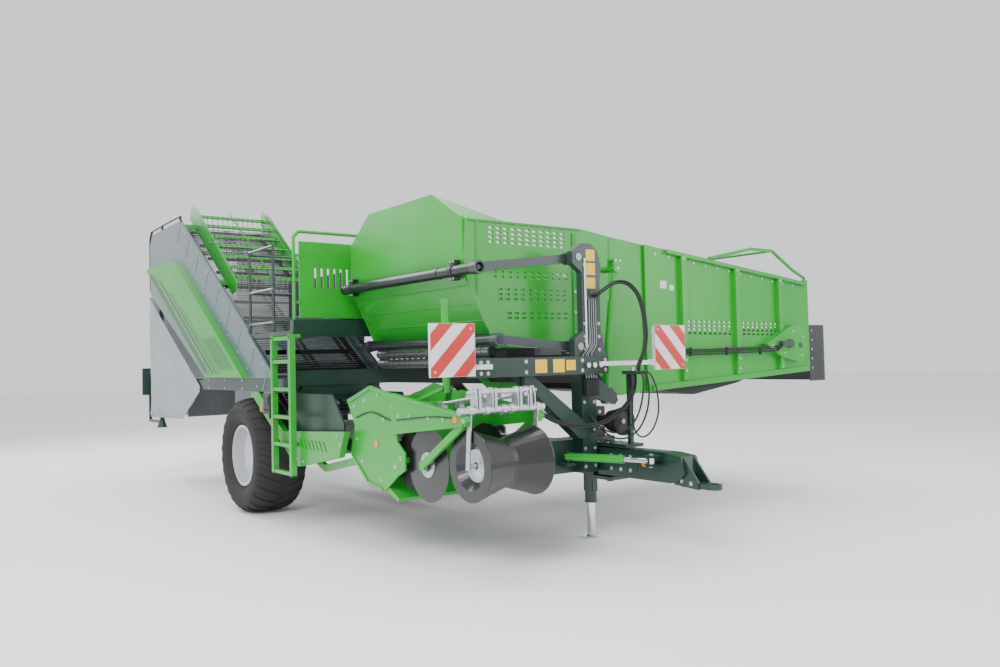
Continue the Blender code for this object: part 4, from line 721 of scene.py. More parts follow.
innerWall = [(-0.42, 1.81), (0.55, 1.81), (1.10, 1.32), (1.56, floorLow(1.56) - 0.12), (1.56, wallTop(1.56)),
             (1.10, 2.91), (0.63, 2.97), (-0.73, 2.97), (-0.75, 2.62), (-0.73, 2.46)]
innerHoles = slotRows(-0.45, 0.45, [2.905, 2.862, 2.819, 2.776]) + slotRows(-0.42, 0.45, [2.503, 2.460])
innerHoles += slotRows(-0.36, 0.43, [2.345, 2.302, 2.259]) + slotRows(-0.26, 0.43, [2.13, 2.087])
bm = bmesh.new()
addPlate(bm, "yz", innerWall, 3.600, 3.620, innerHoles)
y, z = 0.83, 2.56
addRod(bm, (3.615, y, z), (3.722, y, z), 0.020, 24)
addRod(bm, (3.720, y, z), (3.850, y, z), 0.032, 28)
forkRear, forkFront = 3.885 - 0.0289, 3.885 + 0.0289
for a, b in ((forkRear - 0.019, forkRear), (forkFront, forkFront + 0.019)):
    addPlate(bm, "yz", [(y - 0.05, z - 0.02), (y - 0.035, z - 0.035), (y + 0.035, z - 0.035), (y + 0.05, z - 0.02),
                        (y + 0.05, z + 0.098), (y - 0.05, z + 0.098)], a, b)
addBlock(bm, (forkRear - 0.01, forkFront + 0.01), (y - 0.044, y + 0.044), (z + 0.073, z + 0.093))
piece("bunkerFrontWall", bm, "bunker", green, replaced=("bunker_front_wall",))

bm = bmesh.new()
mouth = [(-0.45, 2.52), (1.0, 2.52), (1.0, 2.85), (-0.45, 2.85)]
rearHoles = slotRows(-0.36, 0.43, [2.345, 2.302, 2.259]) + slotRows(-0.26, 0.43, [2.13, 2.087])
addPlate(bm, "yz", innerWall, 1.440, 1.460, [mouth, *rearHoles])
piece("bunkerRearWall", bm, "bunker", green, replaced=("bunker_rear_wall",))

bm = bmesh.new()
for y in (-0.62, 1.02):  # edge strips and seams on the front wall
    addBlock(bm, (3.6195, 3.624), (y - 0.012, y + 0.012), (2.30 if y < 0 else 1.62, 2.94 if y < 0 else 2.90))
addBlock(bm, (3.6195, 3.630), (-0.70, 0.62), (2.948, 2.968))
addBlock(bm, (3.6195, 3.626), (-0.38, 0.54), (1.82, 1.85))
addBlock(bm, (3.6195, 3.634), (0.52, 0.56), (1.86, 2.92))
piece("frontWallStrips", bm, "bunker", greenInner, easing=0.0015)

outerWall = [(1.50, floorLow(1.50) - 0.12), (4.30, 1.48), (4.30, 2.57), (1.50, wallTop(1.50))]
ribs = (2.05, 2.95, 3.75)
outerHoles = slotRows(2.17, 3.72, [2.075, 2.032, 1.989, 1.946], -0.012, ribs[1:2])
bm = bmesh.new()
addPlate(bm, "yz", outerWall, 3.632, 3.652, outerHoles)
for y in ribs:
    low, high = floorLow(y) - 0.10, wallTop(y) - 0.01
    addPlate(bm, "xz", [(3.650, low + 0.04), (3.690, low + 0.06), (3.701, low + 0.12), (3.701, high - 0.02),
                        (3.690, high), (3.650, high)], y - 0.038, y + 0.038)
addBeam(bm, (3.671, 1.80, wallTop(1.80) - 0.025), (3.671, 4.29, 2.55), 0.05, 0.04)
addBeam(bm, (3.660, 1.56, floorLow(1.56) - 0.085), (3.660, 4.29, 1.515), 0.025, 0.06)
piece("extensionFrontWall", bm, "bunker_end", green, replaced=("extension_front_wall",), easing=0.002)

bm = bmesh.new()
addPlate(bm, "yz", outerWall, 1.394, 1.414, outerHoles)
for y in ribs:
    addBlock(bm, (1.372, 1.3945), (y - 0.038, y + 0.038), (floorLow(y) - 0.10, wallTop(y) - 0.01))
piece("extensionRearWall", bm, "bunker_end", green, replaced=("extension_rear_wall",))

bm = bmesh.new()  # belt drive on the outer wall: chain guard, motor and its lines
guard = [(3.40, 1.82), (3.86, 2.02), (4.0, 2.05), (4.12, 2.0), (4.20, 1.88), (4.18, 1.70), (4.05, 1.60),
         (3.70, 1.66)]
addPlate(bm, "yz", guard, 3.648, 3.7365, [], 0.003)
piece("chainGuard", bm, "bunker_end", green, easing=0.004)
bm = bmesh.new()
addRod(bm, (3.7355, 3.84, 1.82), (3.776, 3.84, 1.82), 0.05, 28)
addRod(bm, (3.7355, 4.06, 1.80), (3.744, 4.06, 1.80), 0.034, 24)
addBlock(bm, (3.738, 3.790), (3.64, 3.82), (1.79, 1.85))
piece("beltMotor", bm, "bunker_end", darkGrey, easing=0.003)
bm = bmesh.new()
for k, z in enumerate((1.765, 1.742, 1.716)):
    route = [(3.716, 1.86 + k * 0.03, z + 0.012), (3.716, 2.3, z), (3.716, 3.1, z + 0.012), (3.722, 3.46, z + 0.02),
             (3.750, 3.60, z + 0.03), (3.765, 3.68, 1.80 + k * 0.012)]
    addTube(bm, smooth(route, 0.07), 0.0095, 2)
for y in (2.1, 2.7, 3.3):
    addBlock(bm, (3.703, 3.730), (y - 0.012, y + 0.012), (1.70, 1.79))
piece("beltMotorLines", bm, "bunker_end", blackRubber)

rivets = [((3.652, 1.66 + 0.2 * i, wallTop(1.66 + 0.2 * i) - 0.075), (1, 0, 0)) for i in range(13)
          if all(abs(1.66 + 0.2 * i - r) > 0.05 for r in ribs)]
rivets += [((3.701, y, z), (1, 0, 0)) for y in ribs for z in (1.55, 1.66, wallTop(y) - 0.06)]
rivets += [((3.7365, y, z), (1, 0, 0)) for y, z in ((3.52, 1.80), (3.92, 1.97), (4.12, 1.90), (4.08, 1.68), (3.75, 1.71))]
addBolts("extensionBolts", "bunker_end", rivets, 0.008)
rivets = [((3.620, y, 2.957), (1, 0, 0)) for y in [-0.60 + 0.15 * i for i in range(8)]]
rivets += [((3.634, 0.54, 1.95 + 0.2 * i), (1, 0, 0)) for i in range(5)]
rivets += [((3.934, 0.83 + u, 2.56 + w), (1, 0, 0)) for u, w in ((0.0, 0.0), (-0.03, 0.075), (0.03, 0.075))]
addBolts("bunkerBolts", "bunker", rivets, 0.008)

# hopper side: folded panel, pressed grooves, dark tubes in their clamps
bm = bmesh.new()
t = 0.015
profile = [(-0.75, 2.66), (-0.75, 2.62), (-0.73, 2.46), (-0.40, 1.93), (-0.40 + t, 1.93), (-0.73 + t, 2.46),
           (-0.75 + t, 2.62), (-0.75 + t, 2.66)]
addPlate(bm, "yz", profile, 1.4603, 3.5997)
down = Vector((0.33, -0.53)).normalized()  # along the slope, from the bulge to the foot
for distance in (0.10, 0.28, 0.46):
    y, z = -0.73 + down.x * distance, 2.46 + down.y * distance
    addRod(bm, (1.52, y + 0.002, z), (3.54, y + 0.002, z), 0.007, 10)
for x in (1.4685, 3.5915):
    addBeam(bm, (x, -0.731, 2.45), (x, -0.405, 1.93), 0.016, 0.012)
piece("hopperSide", bm, "bunker", green, replaced=("bunker_side",))

bm = bmesh.new()
for (cy, cz), end in (((-0.80, 2.50), 0.022), ((-0.60, 1.88), 0.035)):
    addRod(bm, (1.405, cy, cz), (3.834, cy, cz), 0.05, 28)
    addRod(bm, (3.82, cy, cz), (3.935 if end > 0.03 else 3.91, cy, cz), end, 24)
    for x in (1.412, 1.66, 3.30, 3.826):
        addRod(bm, (x - 0.006, cy, cz), (x + 0.006, cy, cz), 0.054, 28)
piece("hopperTubes", bm, "bunker", darkPaint)
bm = bmesh.new()
for x in (1.58, 3.52):
    addBlock(bm, (x - 0.035, x + 0.035), (-0.815, -0.742), (2.42, 2.60))
    addRod(bm, (x - 0.030, -0.80, 2.50), (x + 0.030, -0.80, 2.50), 0.060, 24)
    addBlock(bm, (x - 0.035, x + 0.035), (-0.62, -0.405), (1.865, 1.942))
    addRod(bm, (x - 0.030, -0.60, 1.88), (x + 0.030, -0.60, 1.88), 0.060, 24)
piece("tubeClamps", bm, "bunker", blackPlastic, easing=0.004)
rivets = [((x, -0.405 - 0.002, 1.955), (0, -1, -0.6)) for x in [1.56 + 0.18 * i for i in range(12)]]
rivets += [((x + s, -0.816, z), (0, -1, 0)) for x in (1.58, 3.52) for s in (-0.02, 0.02) for z in (2.435, 2.585)]
addBolts("hopperBolts", "bunker", rivets, 0.007)

bm = bmesh.new()  # ribbed rollers under the hopper's foot
for z in (1.79, 1.69):
    addRod(bm, (1.50, -0.42, z), (3.56, -0.42, z), 0.047, 24)
shape = bmesh.new()
addRod(shape, (0, 0, -0.011), (0, 0, 0.011), 0.051, 24)
repeated(bm, shape, [((1.56 + 0.11 * i, -0.42, z), facing((1, 0, 0))) for i in range(19) for z in (1.79, 1.69)],
         steel)
piece("ribbedRollers", bm, "bunker", steel)
print("bunker ready")

# end of the discharge belt
addBolts("flapBolts", "bunker_end", [((3.664, 4.402, 1.52 + 0.115 * i), (1, 0, 0)) for i in range(5)], 0.008)


# belts: bars and cleats
def addBars(bm, places, axis, half, radius, material):
    # round bars along an axis, each centred on its place
    shape = bmesh.new()
    addRod(shape, (0, 0, -half), (0, 0, half), radius, 8)
    repeated(bm, shape, [(p, facing(axis)) for p in places], material)


bm = bmesh.new()
line = []
for i in range(52):
    y = 1.66 + 0.05 * i
    line.append((y, floorLow(y) + 0.085))
addBars(bm, [((1.45 + 3.60) / 2, y, z) for y, z in line], (1, 0, 0), (3.60 - 1.45) / 2, 0.009, webRubber)
piece("dischargeBars", bm, "bunker_end", webRubber)
print("discharge ready")

# sieving web and its comb
webStart, webAngle = (1.05, 1.20), math.radians(33.3)


def webPoint(distance, height=0.0):
    c, s = math.cos(webAngle), math.sin(webAngle)
    return webStart[0] - distance * c + height * s, webStart[1] + distance * s + height * c


web = {"length": 4.45, "half": 0.062, "pitch": 0.050, "right": -1.305, "left": -0.065, "bar": 0.0058}
line, run = [], 0.0
turn = math.pi * web["half"]
around = 2 * web["length"] + 2 * turn
while run < around - web["pitch"] / 2:
    if run < web["length"]:
        at = webPoint(run, web["half"])
    elif run < web["length"] + turn:
        a = (run - web["length"]) / web["half"]
        at = webPoint(web["length"] + web["half"] * math.sin(a), web["half"] * math.cos(a))
    elif run < 2 * web["length"] + turn:
        at = webPoint(2 * web["length"] + turn - run, -web["half"])
    else:
        a = (run - 2 * web["length"] - turn) / web["half"]
        at = webPoint(-web["half"] * math.sin(a), -web["half"] * math.cos(a))
    line.append(at)
    run += web["pitch"]
middle = (web["right"] + web["left"]) / 2
bm = bmesh.new()
addBars(bm, [(x, middle, z) for x, z in line], (0, 1, 0), 0.615, web["bar"], steel)
piece("webBars", bm, "chassis", steel, replaced=("sieving_web",))
bm = bmesh.new()
for y0, y1 in ((-1.300, -1.235), (-0.70, -0.655), (-0.135, -0.07)):
    loop, inner = [
        [webPoint(d, h) for d, h in ((0, high), (4.45, high), (4.45 + side, low), (4.45 + high, 0.0),
                                     (4.45 + side, -low), (4.45, -high), (0, -high), (-side, -low),
                                     (-high, 0.0), (-side, low))]
        for high, side, low in ((0.054, 0.040, 0.035), (0.046, 0.035, 0.030))]
    addPlate(bm, "xz", loop, y0, y1, [inner])
for distance in (0.0, 0.9, 1.9, 2.9, 3.8, 4.45):
    x, z = webPoint(distance, 0.0)
    addRod(bm, (x, -1.306, z), (x, -0.063, z), 0.045 if distance in (0.0, 4.45) else 0.036, 20)
shape = bmesh.new()
addBlock(shape, (-0.004, 0.004), (-0.54, 0.54), (0.0, 0.058))
repeated(bm, shape, [((webPoint(d, web["half"])[0], middle, webPoint(d, web["half"])[1]), (0, -webAngle, 0))
                     for d in [0.25 + 0.40 * i for i in range(11)]], webRubber)
piece("webBelts", bm, "chassis", webRubber)

bm = bmesh.new()
shape = bmesh.new()  # spring finger: coil round its bar, then a bent tine
coil = [(0.026 * math.cos(a), 0.006 * a / 6.28, 0.026 * math.sin(a)) for a in [math.pi / 2 * k for k in range(11)]]
tine = [(-0.034, 0.020, -0.05), (-0.052, 0.020, -0.11), (-0.100, 0.020, -0.165)]
addTube(shape, [*coil, *tine], 0.0038, 0)
combPlaces = []
for i in range(7):
    x, z = webPoint(2.60 + i * 1.85 / 6, 0.26)
    combPlaces += [((x, -1.15 + 0.074 * k, z), (0, -0.12, 0)) for k in range(14)]
repeated(bm, shape, combPlaces, darkPaint)
piece("combFingers", bm, "chassis", darkPaint)
bm = bmesh.new()
for i in range(6):
    x, z = webPoint(2.75 + i * 1.85 / 6, 0.325)
    addRod(bm, (x, -1.19, z), (x, -0.15, z), 0.009, 8)
x, z = webPoint(3.5, 0.36)
for y in (-1.17, -0.19, -0.68):
    a, b = webPoint(2.55, 0.30), webPoint(4.50, 0.335)
    addBeam(bm, (a[0], y, a[1]), (b[0], y, b[1]), 0.008, 0.028)
addRod(bm, (x, -1.255, z - 0.05), (x, -1.12, z - 0.05), 0.012, 12)
addRod(bm, (x, -1.250, z - 0.05), (x + 0.04, -1.250, z + 0.09), 0.009, 10)
piece("combRods", bm, "chassis", green)

# side panels of the elevator and the cover outside
bm = bmesh.new()
arch = [(-4.055, -1.385, 2.90), (-4.055, -1.385, 3.62), (-4.03, -1.385, 3.74), (-3.96, -1.385, 3.80),
        (-3.84, -1.385, 3.82), (-2.62, -1.385, 3.84), (-2.50, -1.385, 3.80), (-2.44, -1.385, 3.74)]
addTube(bm, smooth(arch, 0.05), 0.019, 3)
for x, z, w in ((-4.045, 3.10, 0.02), (-4.045, 3.50, 0.02), (-3.4, 3.79, 0.05)):
    addBlock(bm, (x - 0.02, x + 0.02), (-1.3995, -1.3705), (z - w, z + w))
piece("archTube", bm, "chassis", darkPaint)
bm = bmesh.new()
for y0, y1 in ((-1.4035, -1.3995), (-1.3705, -1.3665)):
    for k in range(9):
        d = 0.55 + 0.47 * k
        a, b = webPoint(d, 0.17), webPoint(d, -0.10)
        addBeam(bm, (a[0], (y0 + y1) / 2, a[1]), (b[0], (y0 + y1) / 2, b[1]), 0.004, 0.030)
piece("panelRibs", bm, "chassis", slate, easing=0.001)
panelBolts = []
for k in range(12):
    for h in (0.15, -0.15):
        x, z = webPoint(0.35 + 0.37 * k, h)
        panelBolts.append(((x, -1.4005, z), (0, -1, 0)))
panelBolts += [((-3.72, -1.4855, 3.15), (0, -1, 0)), ((-2.62, -1.4855, 3.12), (0, -1, 0)),
               ((-0.05, -1.4855, 1.64), (0, -1, 0)), ((-1.10, -1.4855, 1.64), (0, -1, 0)),
               ((-2.40, -1.4855, 2.43), (0, -1, 0)), ((-1.33, -1.4855, 2.38), (0, -1, 0))]
addBolts("panelBolts", "chassis", panelBolts, 0.008)


def coverPoint(along, up):
    # point on the cover: along its slope from the rear top, and the share of its width
    low = Vector((-3.90, 3.185)).lerp(Vector((-1.17, 1.585)), along)
    high = Vector((-2.52, 3.185)).lerp(Vector((0.08, 1.585)), along)
    return tuple(low.lerp(high, up))


bm = bmesh.new()
for u0, u1, a0, a1 in ((0.02, 0.16, 0.02, 0.98), (0.22, 0.30, 0.10, 0.98), (0.35, 0.40, 0.24, 0.98),
                       (0.45, 0.475, 0.40, 0.98)):
    addPlate(bm, "xz", [coverPoint(a0, u0), coverPoint(a1, u0), coverPoint(a1, u1), coverPoint(a0 + 0.04, u1)],
             -1.4860, -1.4851)
piece("coverStripes", bm, "chassis", darkStripe)
bm = bmesh.new()
shape = bmesh.new()
addBlock(shape, (-0.020, 0.020), (-0.0008, 0.0008), (-0.006, 0.006))
meshPlaces = []
for i in range(16):
    for j in range(7):
        x, z = coverPoint(0.70 + 0.016 * i + 0.008 * (j % 2), 0.55 + 0.058 * j)
        meshPlaces.append(((x, -1.4857, z), (0, 0.53, 0)))
repeated(bm, shape, meshPlaces, blackPlastic)
piece("coverMesh", bm, "chassis", blackPlastic)
print("elevator ready")

# sorting table: bars on its belts
bm = bmesh.new()
for x, y, half, count in ((-2.88, 0.475, 0.45, 76), (-0.26, -0.345, 0.335, 26)):
    addBars(bm, [(x + 0.055 * i, y, 2.503) for i in range(count)], (0, 1, 0), half, 0.009, webRubber)
piece("tableBars", bm, "chassis", webRubber)

# platform: raised diamonds on its deck, its edge
bm = bmesh.new()
shape = bmesh.new()
addBlock(shape, (-0.016, 0.016), (-0.003, 0.003), (-0.001, 0.0014))
repeated(bm, shape, [((0.03 + 0.04 * i, -1.345 + 0.04 * j, 2.0510), (0, 0, 0.8 if (i + j) % 2 else -0.8))
                     for i in range(33) for j in range(14)], galv)
piece("deckTread", bm, "chassis", steel)
bm = bmesh.new()
addBlock(bm, (0.0, 1.34), (-1.3765, -1.3705), (2.012, 2.062))
piece("platformEdge", bm, "chassis", darkGreen, easing=0.001)

# warning boards: red stripes on white, galvanised edges and bolts
boardSettings = {"half": 0.2095, "face": 4.2271, "stripe": 0.095}


def clipBelow(points, normal, limit):
    # the part of a polygon where its dot with normal is under limit
    made = []
    for a, b in zip(points, points[1:] + points[:1]):
        da, db = a[0] * normal[0] + a[1] * normal[1] - limit, b[0] * normal[0] + b[1] * normal[1] - limit
        if da <= 0:
            made.append(a)
        if da * db < 0:
            t = da / (da - db)
            made.append((a[0] + (b[0] - a[0]) * t, a[1] + (b[1] - a[1]) * t))
    return made


def addStripes(bm, y, z, lean, x0, x1):
    # five diagonal stripes on one board
    half, wide = boardSettings["half"], boardSettings["stripe"]
    square = [(-half, -half), (half, -half), (half, half), (-half, half)]
    n = (lean * math.sqrt(0.5), math.sqrt(0.5))
    for k in range(-2, 3):
        poly = clipBelow(square, n, k * 2 * wide + wide / 2)
        poly = clipBelow(poly, (-n[0], -n[1]), wide / 2 - k * 2 * wide) if len(poly) > 2 else poly
        if len(poly) > 2:
            addPlate(bm, "yz", [(y + u, z + v) for u, v in poly], x0, x1)


bm = bmesh.new()
for y, lean in ((-1.29, -1), (1.21, 1)):
    addStripes(bm, y, 1.79, lean, boardSettings["face"], boardSettings["face"] + 0.0008)
piece("boardStripes", bm, "chassis", redSheet)
bm = bmesh.new()
for y in (-1.29, 1.21):
    edge = [(y - 0.2115, 1.5785), (y + 0.2115, 1.5785), (y + 0.2115, 2.0015), (y - 0.2115, 2.0015)]
    hole = [(y - 0.2095, 1.5805), (y + 0.2095, 1.5805), (y + 0.2095, 1.9995), (y - 0.2095, 1.9995)]
    addPlate(bm, "yz", edge, 4.2268, 4.2284, [hole])
piece("boardEdges", bm, "chassis", galv)
addBolts("boardBolts", "chassis", [((4.2275, y + s * 0.17, 1.79 + t * 0.17), (1, 0, 0)) for y in (-1.29, 1.21)
                                   for s in (-1, 1) for t in (-1, 1)], 0.006)

# mast: blank stickers, eyes, white rod, pivots
bm = bmesh.new()
for y0, y1, z0, z1 in ((0.335, 0.445, 2.600, 2.705), (0.335, 0.445, 2.470, 2.580), (0.335, 0.445, 2.345, 2.445)):
    addBlock(bm, (4.0201, 4.0209), (y0, y1), (z0, z1))
for y0, y1, z0, z1 in ((-0.40, -0.27, 1.585, 1.70), (-0.20, -0.07, 1.585, 1.70), (-0.05, 0.06, 1.60, 1.69)):
    addBlock(bm, (4.1501, 4.1509), (y0, y1), (z0, z1))
piece("blankStickers", bm, "chassis", yellow)
bm = bmesh.new()
addRod(bm, (4.030, 0.31, 1.80), (4.030, 0.31, 2.62), 0.009, 16)
for z in (1.86, 2.56):
    addBlock(bm, (4.0195, 4.032), (0.298, 0.322), (z - 0.012, z + 0.012))
piece("levelRod", bm, "chassis", whitePaint)
bm = bmesh.new()
for y, z in ((0.24, 2.63), (0.24, 1.81)):
    addRod(bm, (3.9305, y, z), (3.943, y, z), 0.046, 28)
    addRod(bm, (4.0205, y, z), (4.028, y, z), 0.034, 24)
addRod(bm, (3.952, 0.66, 1.30), (3.976, 0.66, 1.30), 0.032, 24)
piece("mastPins", bm, "chassis", steel)
mastBolts = [((4.0205, y, z), (1, 0, 0)) for y in (0.30, 0.475) for z in (1.78, 1.90, 2.02)]
mastBolts += [((4.1505, y, z), (1, 0, 0)) for y in (-0.97, -0.90, -0.50, 0.14, 0.42) for z in (1.595, 1.685)]
mastBolts += [((4.0205, y, z), (1, 0, 0)) for y in (0.27, 0.39) for z in (0.72, 0.88, 1.05, 1.30)]
addBolts("mastBolts", "chassis", mastBolts, 0.010)
bm = bmesh.new()  # valve block, its lines and gauges under the mast
addBlock(bm, (4.0205, 4.085), (0.255, 0.405), (1.36, 1.52))
addBlock(bm, (4.0205, 4.100), (-0.30, -0.06), (1.735, 1.80))
piece("valveBlocks", bm, "chassis", darkPaint, easing=0.003)
bm = bmesh.new()
for k in range(5):
    y, z = 0.27 + 0.03 * k, 1.52
    addRod(bm, (4.055, y, z - 0.002), (4.055, y, z + 0.024), 0.009, 8)
    route = [(4.055, y, z + 0.02), (4.055, y, z + 0.05), (4.062, y - 0.05 + 0.01 * k, 1.70),
             (4.044 + 0.012 * (k % 2), y - 0.02, 1.735 + 0.004 * k), (4.036, 0.34 + 0.028 * k, 1.83),
             (4.030, 0.35 + 0.026 * k, 2.05), (4.030, 0.35 + 0.026 * k, 2.24)]
    if k < 4:
        addTube(bm, smooth(route, 0.06), 0.006, 1)
for k in range(3):
    x, y, z = 4.1505, 0.20 + 0.075 * k, 1.64
    addRod(bm, (x, y, z), (x + 0.022, y, z), 0.026, 20)
piece("mastLines", bm, "chassis", steel)
bm = bmesh.new()
for k in range(3):
    addRod(bm, (4.172, 0.20 + 0.075 * k, 1.64), (4.175, 0.20 + 0.075 * k, 1.64), 0.021, 20)
piece("gaugeFaces", bm, "chassis", whitePaint)

# orange reflectors, blank plates
bm = bmesh.new()
addRod(bm, (4.57, 0.4605, 0.78), (4.57, 0.453, 0.78), 0.036, 28)
piece("drawbarReflector", bm, "drawbar", orange)
bm = bmesh.new()
addRod(bm, (0.52, -1.4095, 1.22), (0.52, -1.417, 1.22), 0.036, 28)
piece("armReflector", bm, "chassis", orange)
bm = bmesh.new()
addRod(bm, (4.30, -1.3305, 1.25), (4.30, -1.337, 1.25), 0.028, 28)
addRod(bm, (2.98, -1.3005, 0.98), (2.98, -1.308, 0.98), 0.033, 28)
piece("diggerReflectors", bm, "digger", orange)
bm = bmesh.new()
addBlock(bm, (3.6525, 3.6532), (1.72, 1.82), (2.42, 2.50))
addBlock(bm, (3.6525, 3.6532), (1.86, 1.93), (2.40, 2.46))
piece("blankPlates", bm, "bunker_end", galv)
bm = bmesh.new()
addBlock(bm, (0.80, 0.98), (-1.50, -1.425), (1.18, 1.40))
addBlock(bm, (0.83, 0.95), (-1.5065, -1.4995), (1.28, 1.375))
addRod(bm, (0.89, -1.46, 1.18), (0.89, -1.46, 1.13), 0.012, 12)
for k in range(3):
    addRod(bm, (0.845 + 0.045 * k, -1.4995, 1.225), (0.845 + 0.045 * k, -1.508, 1.225), 0.009, 12)
addBlock(bm, (0.84, 0.94), (-1.428, -1.409), (1.20, 1.26))
piece("controlBox", bm, "chassis", blackPlastic, easing=0.003)
print("chassis details ready")

# digging unit
disc = {"x": 3.76, "z": 0.85, "plate": 0.105, "thick": 0.008, "boltCircle": 0.082}
for side, y, out in (("Right", -1.2585, -1), ("Left", -0.6415, 1)):
    bm = bmesh.new()
    addRod(bm, (disc["x"], min(y, y - out * disc["thick"]), disc["z"]),
           (disc["x"], max(y, y - out * disc["thick"]), disc["z"]), disc["plate"], 32)
    piece("discPlate" + side, bm, "disc_" + side.lower(), galv, easing=0.001)
for side, y, out in (("Right", -1.2585, -1), ("Left", -0.6415, 1)):
    addBolts("discBolts" + side, "disc_" + side.lower(),
             [((disc["x"] + disc["boltCircle"] * math.cos(a), y, disc["z"] + disc["boltCircle"] * math.sin(a)),
               (0, out, 0)) for a in [math.pi / 3 * k for k in range(6)]], 0.008)
bm = bmesh.new()
steps = 48  # pressed dish in the ridge roller's outer end
for y, out in ((-1.262, -1), (-0.638, 1)):
    rings = []
    for r, inward in ((0.262, 0.000), (0.250, 0.006), (0.185, 0.050), (0.110, 0.066), (0.070, 0.060), (0.030, 0.060),
                      (0.030, 0.068), (0.112, 0.074), (0.190, 0.058), (0.250, 0.014), (0.262, 0.008)):
        rings.append([bm.verts.new((4.38 + r * math.cos(2 * math.pi * k / steps), y - out * inward,
                                    0.89 + r * math.sin(2 * math.pi * k / steps))) for k in range(steps)])
    joinRings(bm, rings)
piece("rollerDishes", bm, "ridge_roller", galv)
bm = bmesh.new()  # depth clamps, spindle and springs on the galvanised shaft
sx, sz = 4.42, 1.3183
for y in (-1.27, -1.125, -0.96, -0.88, -0.62):
    addRod(bm, (sx, y - 0.018, sz), (sx, y + 0.018, sz), 0.040, 24)
for y in (-1.235, -1.085, -0.835, -0.735, -0.665):
    addPlate(bm, "xz", [(sx - 0.045, sz + 0.02), (sx - 0.045, sz + 0.10), (sx - 0.02, sz + 0.175),
                        (sx + 0.02, sz + 0.175), (sx + 0.045, sz + 0.10), (sx + 0.045, sz + 0.02)],
             y - 0.004, y + 0.004)
for y in (-1.165, -0.995, -0.765):
    addRod(bm, (3.86, y, sz + 0.035), (sx + 0.05, y, sz + 0.11), 0.014, 12)
    addRod(bm, (sx - 0.07, y, sz + 0.090), (sx - 0.03, y, sz + 0.097), 0.024, 6)
    addBlock(bm, (3.83, 3.90), (y - 0.025, y + 0.025), (sz - 0.005, sz + 0.055))
addRod(bm, (sx, -1.30, sz + 0.14), (sx, -0.62, sz + 0.14), 0.013, 12)
piece("depthClamps", bm, "digger", galv, easing=0.0012)
bm = bmesh.new()
coil = [(0.030 * math.cos(a), 0.0045 * a, 0.030 * math.sin(a)) for a in [math.pi / 4 * k for k in range(97)]]
for y in (-1.10, -0.90):
    addTube(bm, [(4.14 + p[1] * 0.35, y + p[0] * 0.8, 1.41 + p[2] * 0.8) for p in coil], 0.005, 1)
piece("depthSprings", bm, "digger", steel)
bm = bmesh.new()  # clamp and bolt plates on the green frame, folds of the side plates
for y, out in ((-1.300, -1), (-0.600, 1)):
    for a, b in (((2.44, 1.335), (2.86, 1.47)), ((2.88, 1.47), (3.30, 1.395)), ((2.83, 0.62), (3.08, 0.58)),
                 ((2.50, 0.85), (2.80, 0.63))):
        addBeam(bm, (a[0], y + out * 0.006, a[1]), (b[0], y + out * 0.006, b[1]), 0.012, 0.022)
for y, out in ((-1.330, -1), (-0.570, 1)):
    addBeam(bm, (3.34, y + out * 0.004, 1.408), (4.40, y + out * 0.004, 1.278), 0.008, 0.020)
    addBeam(bm, (3.34, y + out * 0.004, 1.095), (4.40, y + out * 0.004, 1.212), 0.008, 0.020)
    addRod(bm, (4.42, y, 1.247), (4.42, y + out * 0.010, 1.247), 0.030, 24)
piece("frameFolds", bm, "digger", green, easing=0.0015)
digBolts = [((x, -1.3005, z), (0, -1, 0)) for x, z in ((2.55, 1.30), (2.75, 1.36), (3.25, 1.32), (2.60, 1.00),
            (2.70, 0.80), (3.30, 0.80), (3.40, 0.88), (3.05, 0.66), (3.10, 1.20), (3.00, 1.42))]
digBolts += [((x, -1.3305, z), (0, -1, 0)) for x, z in ((3.42, 1.25), (3.60, 1.25), (3.90, 1.25), (4.12, 1.25))]
digBolts += [((4.42, -1.3395, 1.247), (0, -1, 0))]
addBolts("diggerBolts", "digger", digBolts, 0.011)
bm = bmesh.new()  # bars of the small intake belt
places = []
for count, x0, x1, z0, z1 in ((25, 1.79, 2.97, 1.105, 0.865), (24, 1.77, 3.01, 0.975, 0.735)):
    for i in range(count):
        t = i / (count - 1)
        places.append((x0 + (x1 - x0) * t, -0.95, z0 + (z1 - z0) * t))
addBars(bm, places, (0, 1, 0), 0.302, 0.009, steel)
piece("intakeBars", bm, "digger", steel)
bm = bmesh.new()  # a grease line along the right plate
addTube(bm, smooth([(2.60, -1.307, 1.20), (2.90, -1.309, 1.26), (3.25, -1.309, 1.20), (3.50, -1.338, 1.22),
                    (3.95, -1.338, 1.26), (4.25, -1.338, 1.262)], 0.06), 0.006, 1)
piece("greaseLine", bm, "digger", blackRubber)
bm = bmesh.new()
addRod(bm, (3.80, -1.08, 2.18), (3.80, -1.08, 2.226), 0.036, 20)
for z in (1.62, 1.90):
    addRod(bm, (3.80, -1.08, z), (3.80, -1.08, z + 0.02), 0.037, 20)
addBlock(bm, (3.765, 3.835), (-1.085, -1.075), (2.10, 2.215))
piece("tubeHead", bm, "digger", green, easing=0.002)
print("digging unit ready")

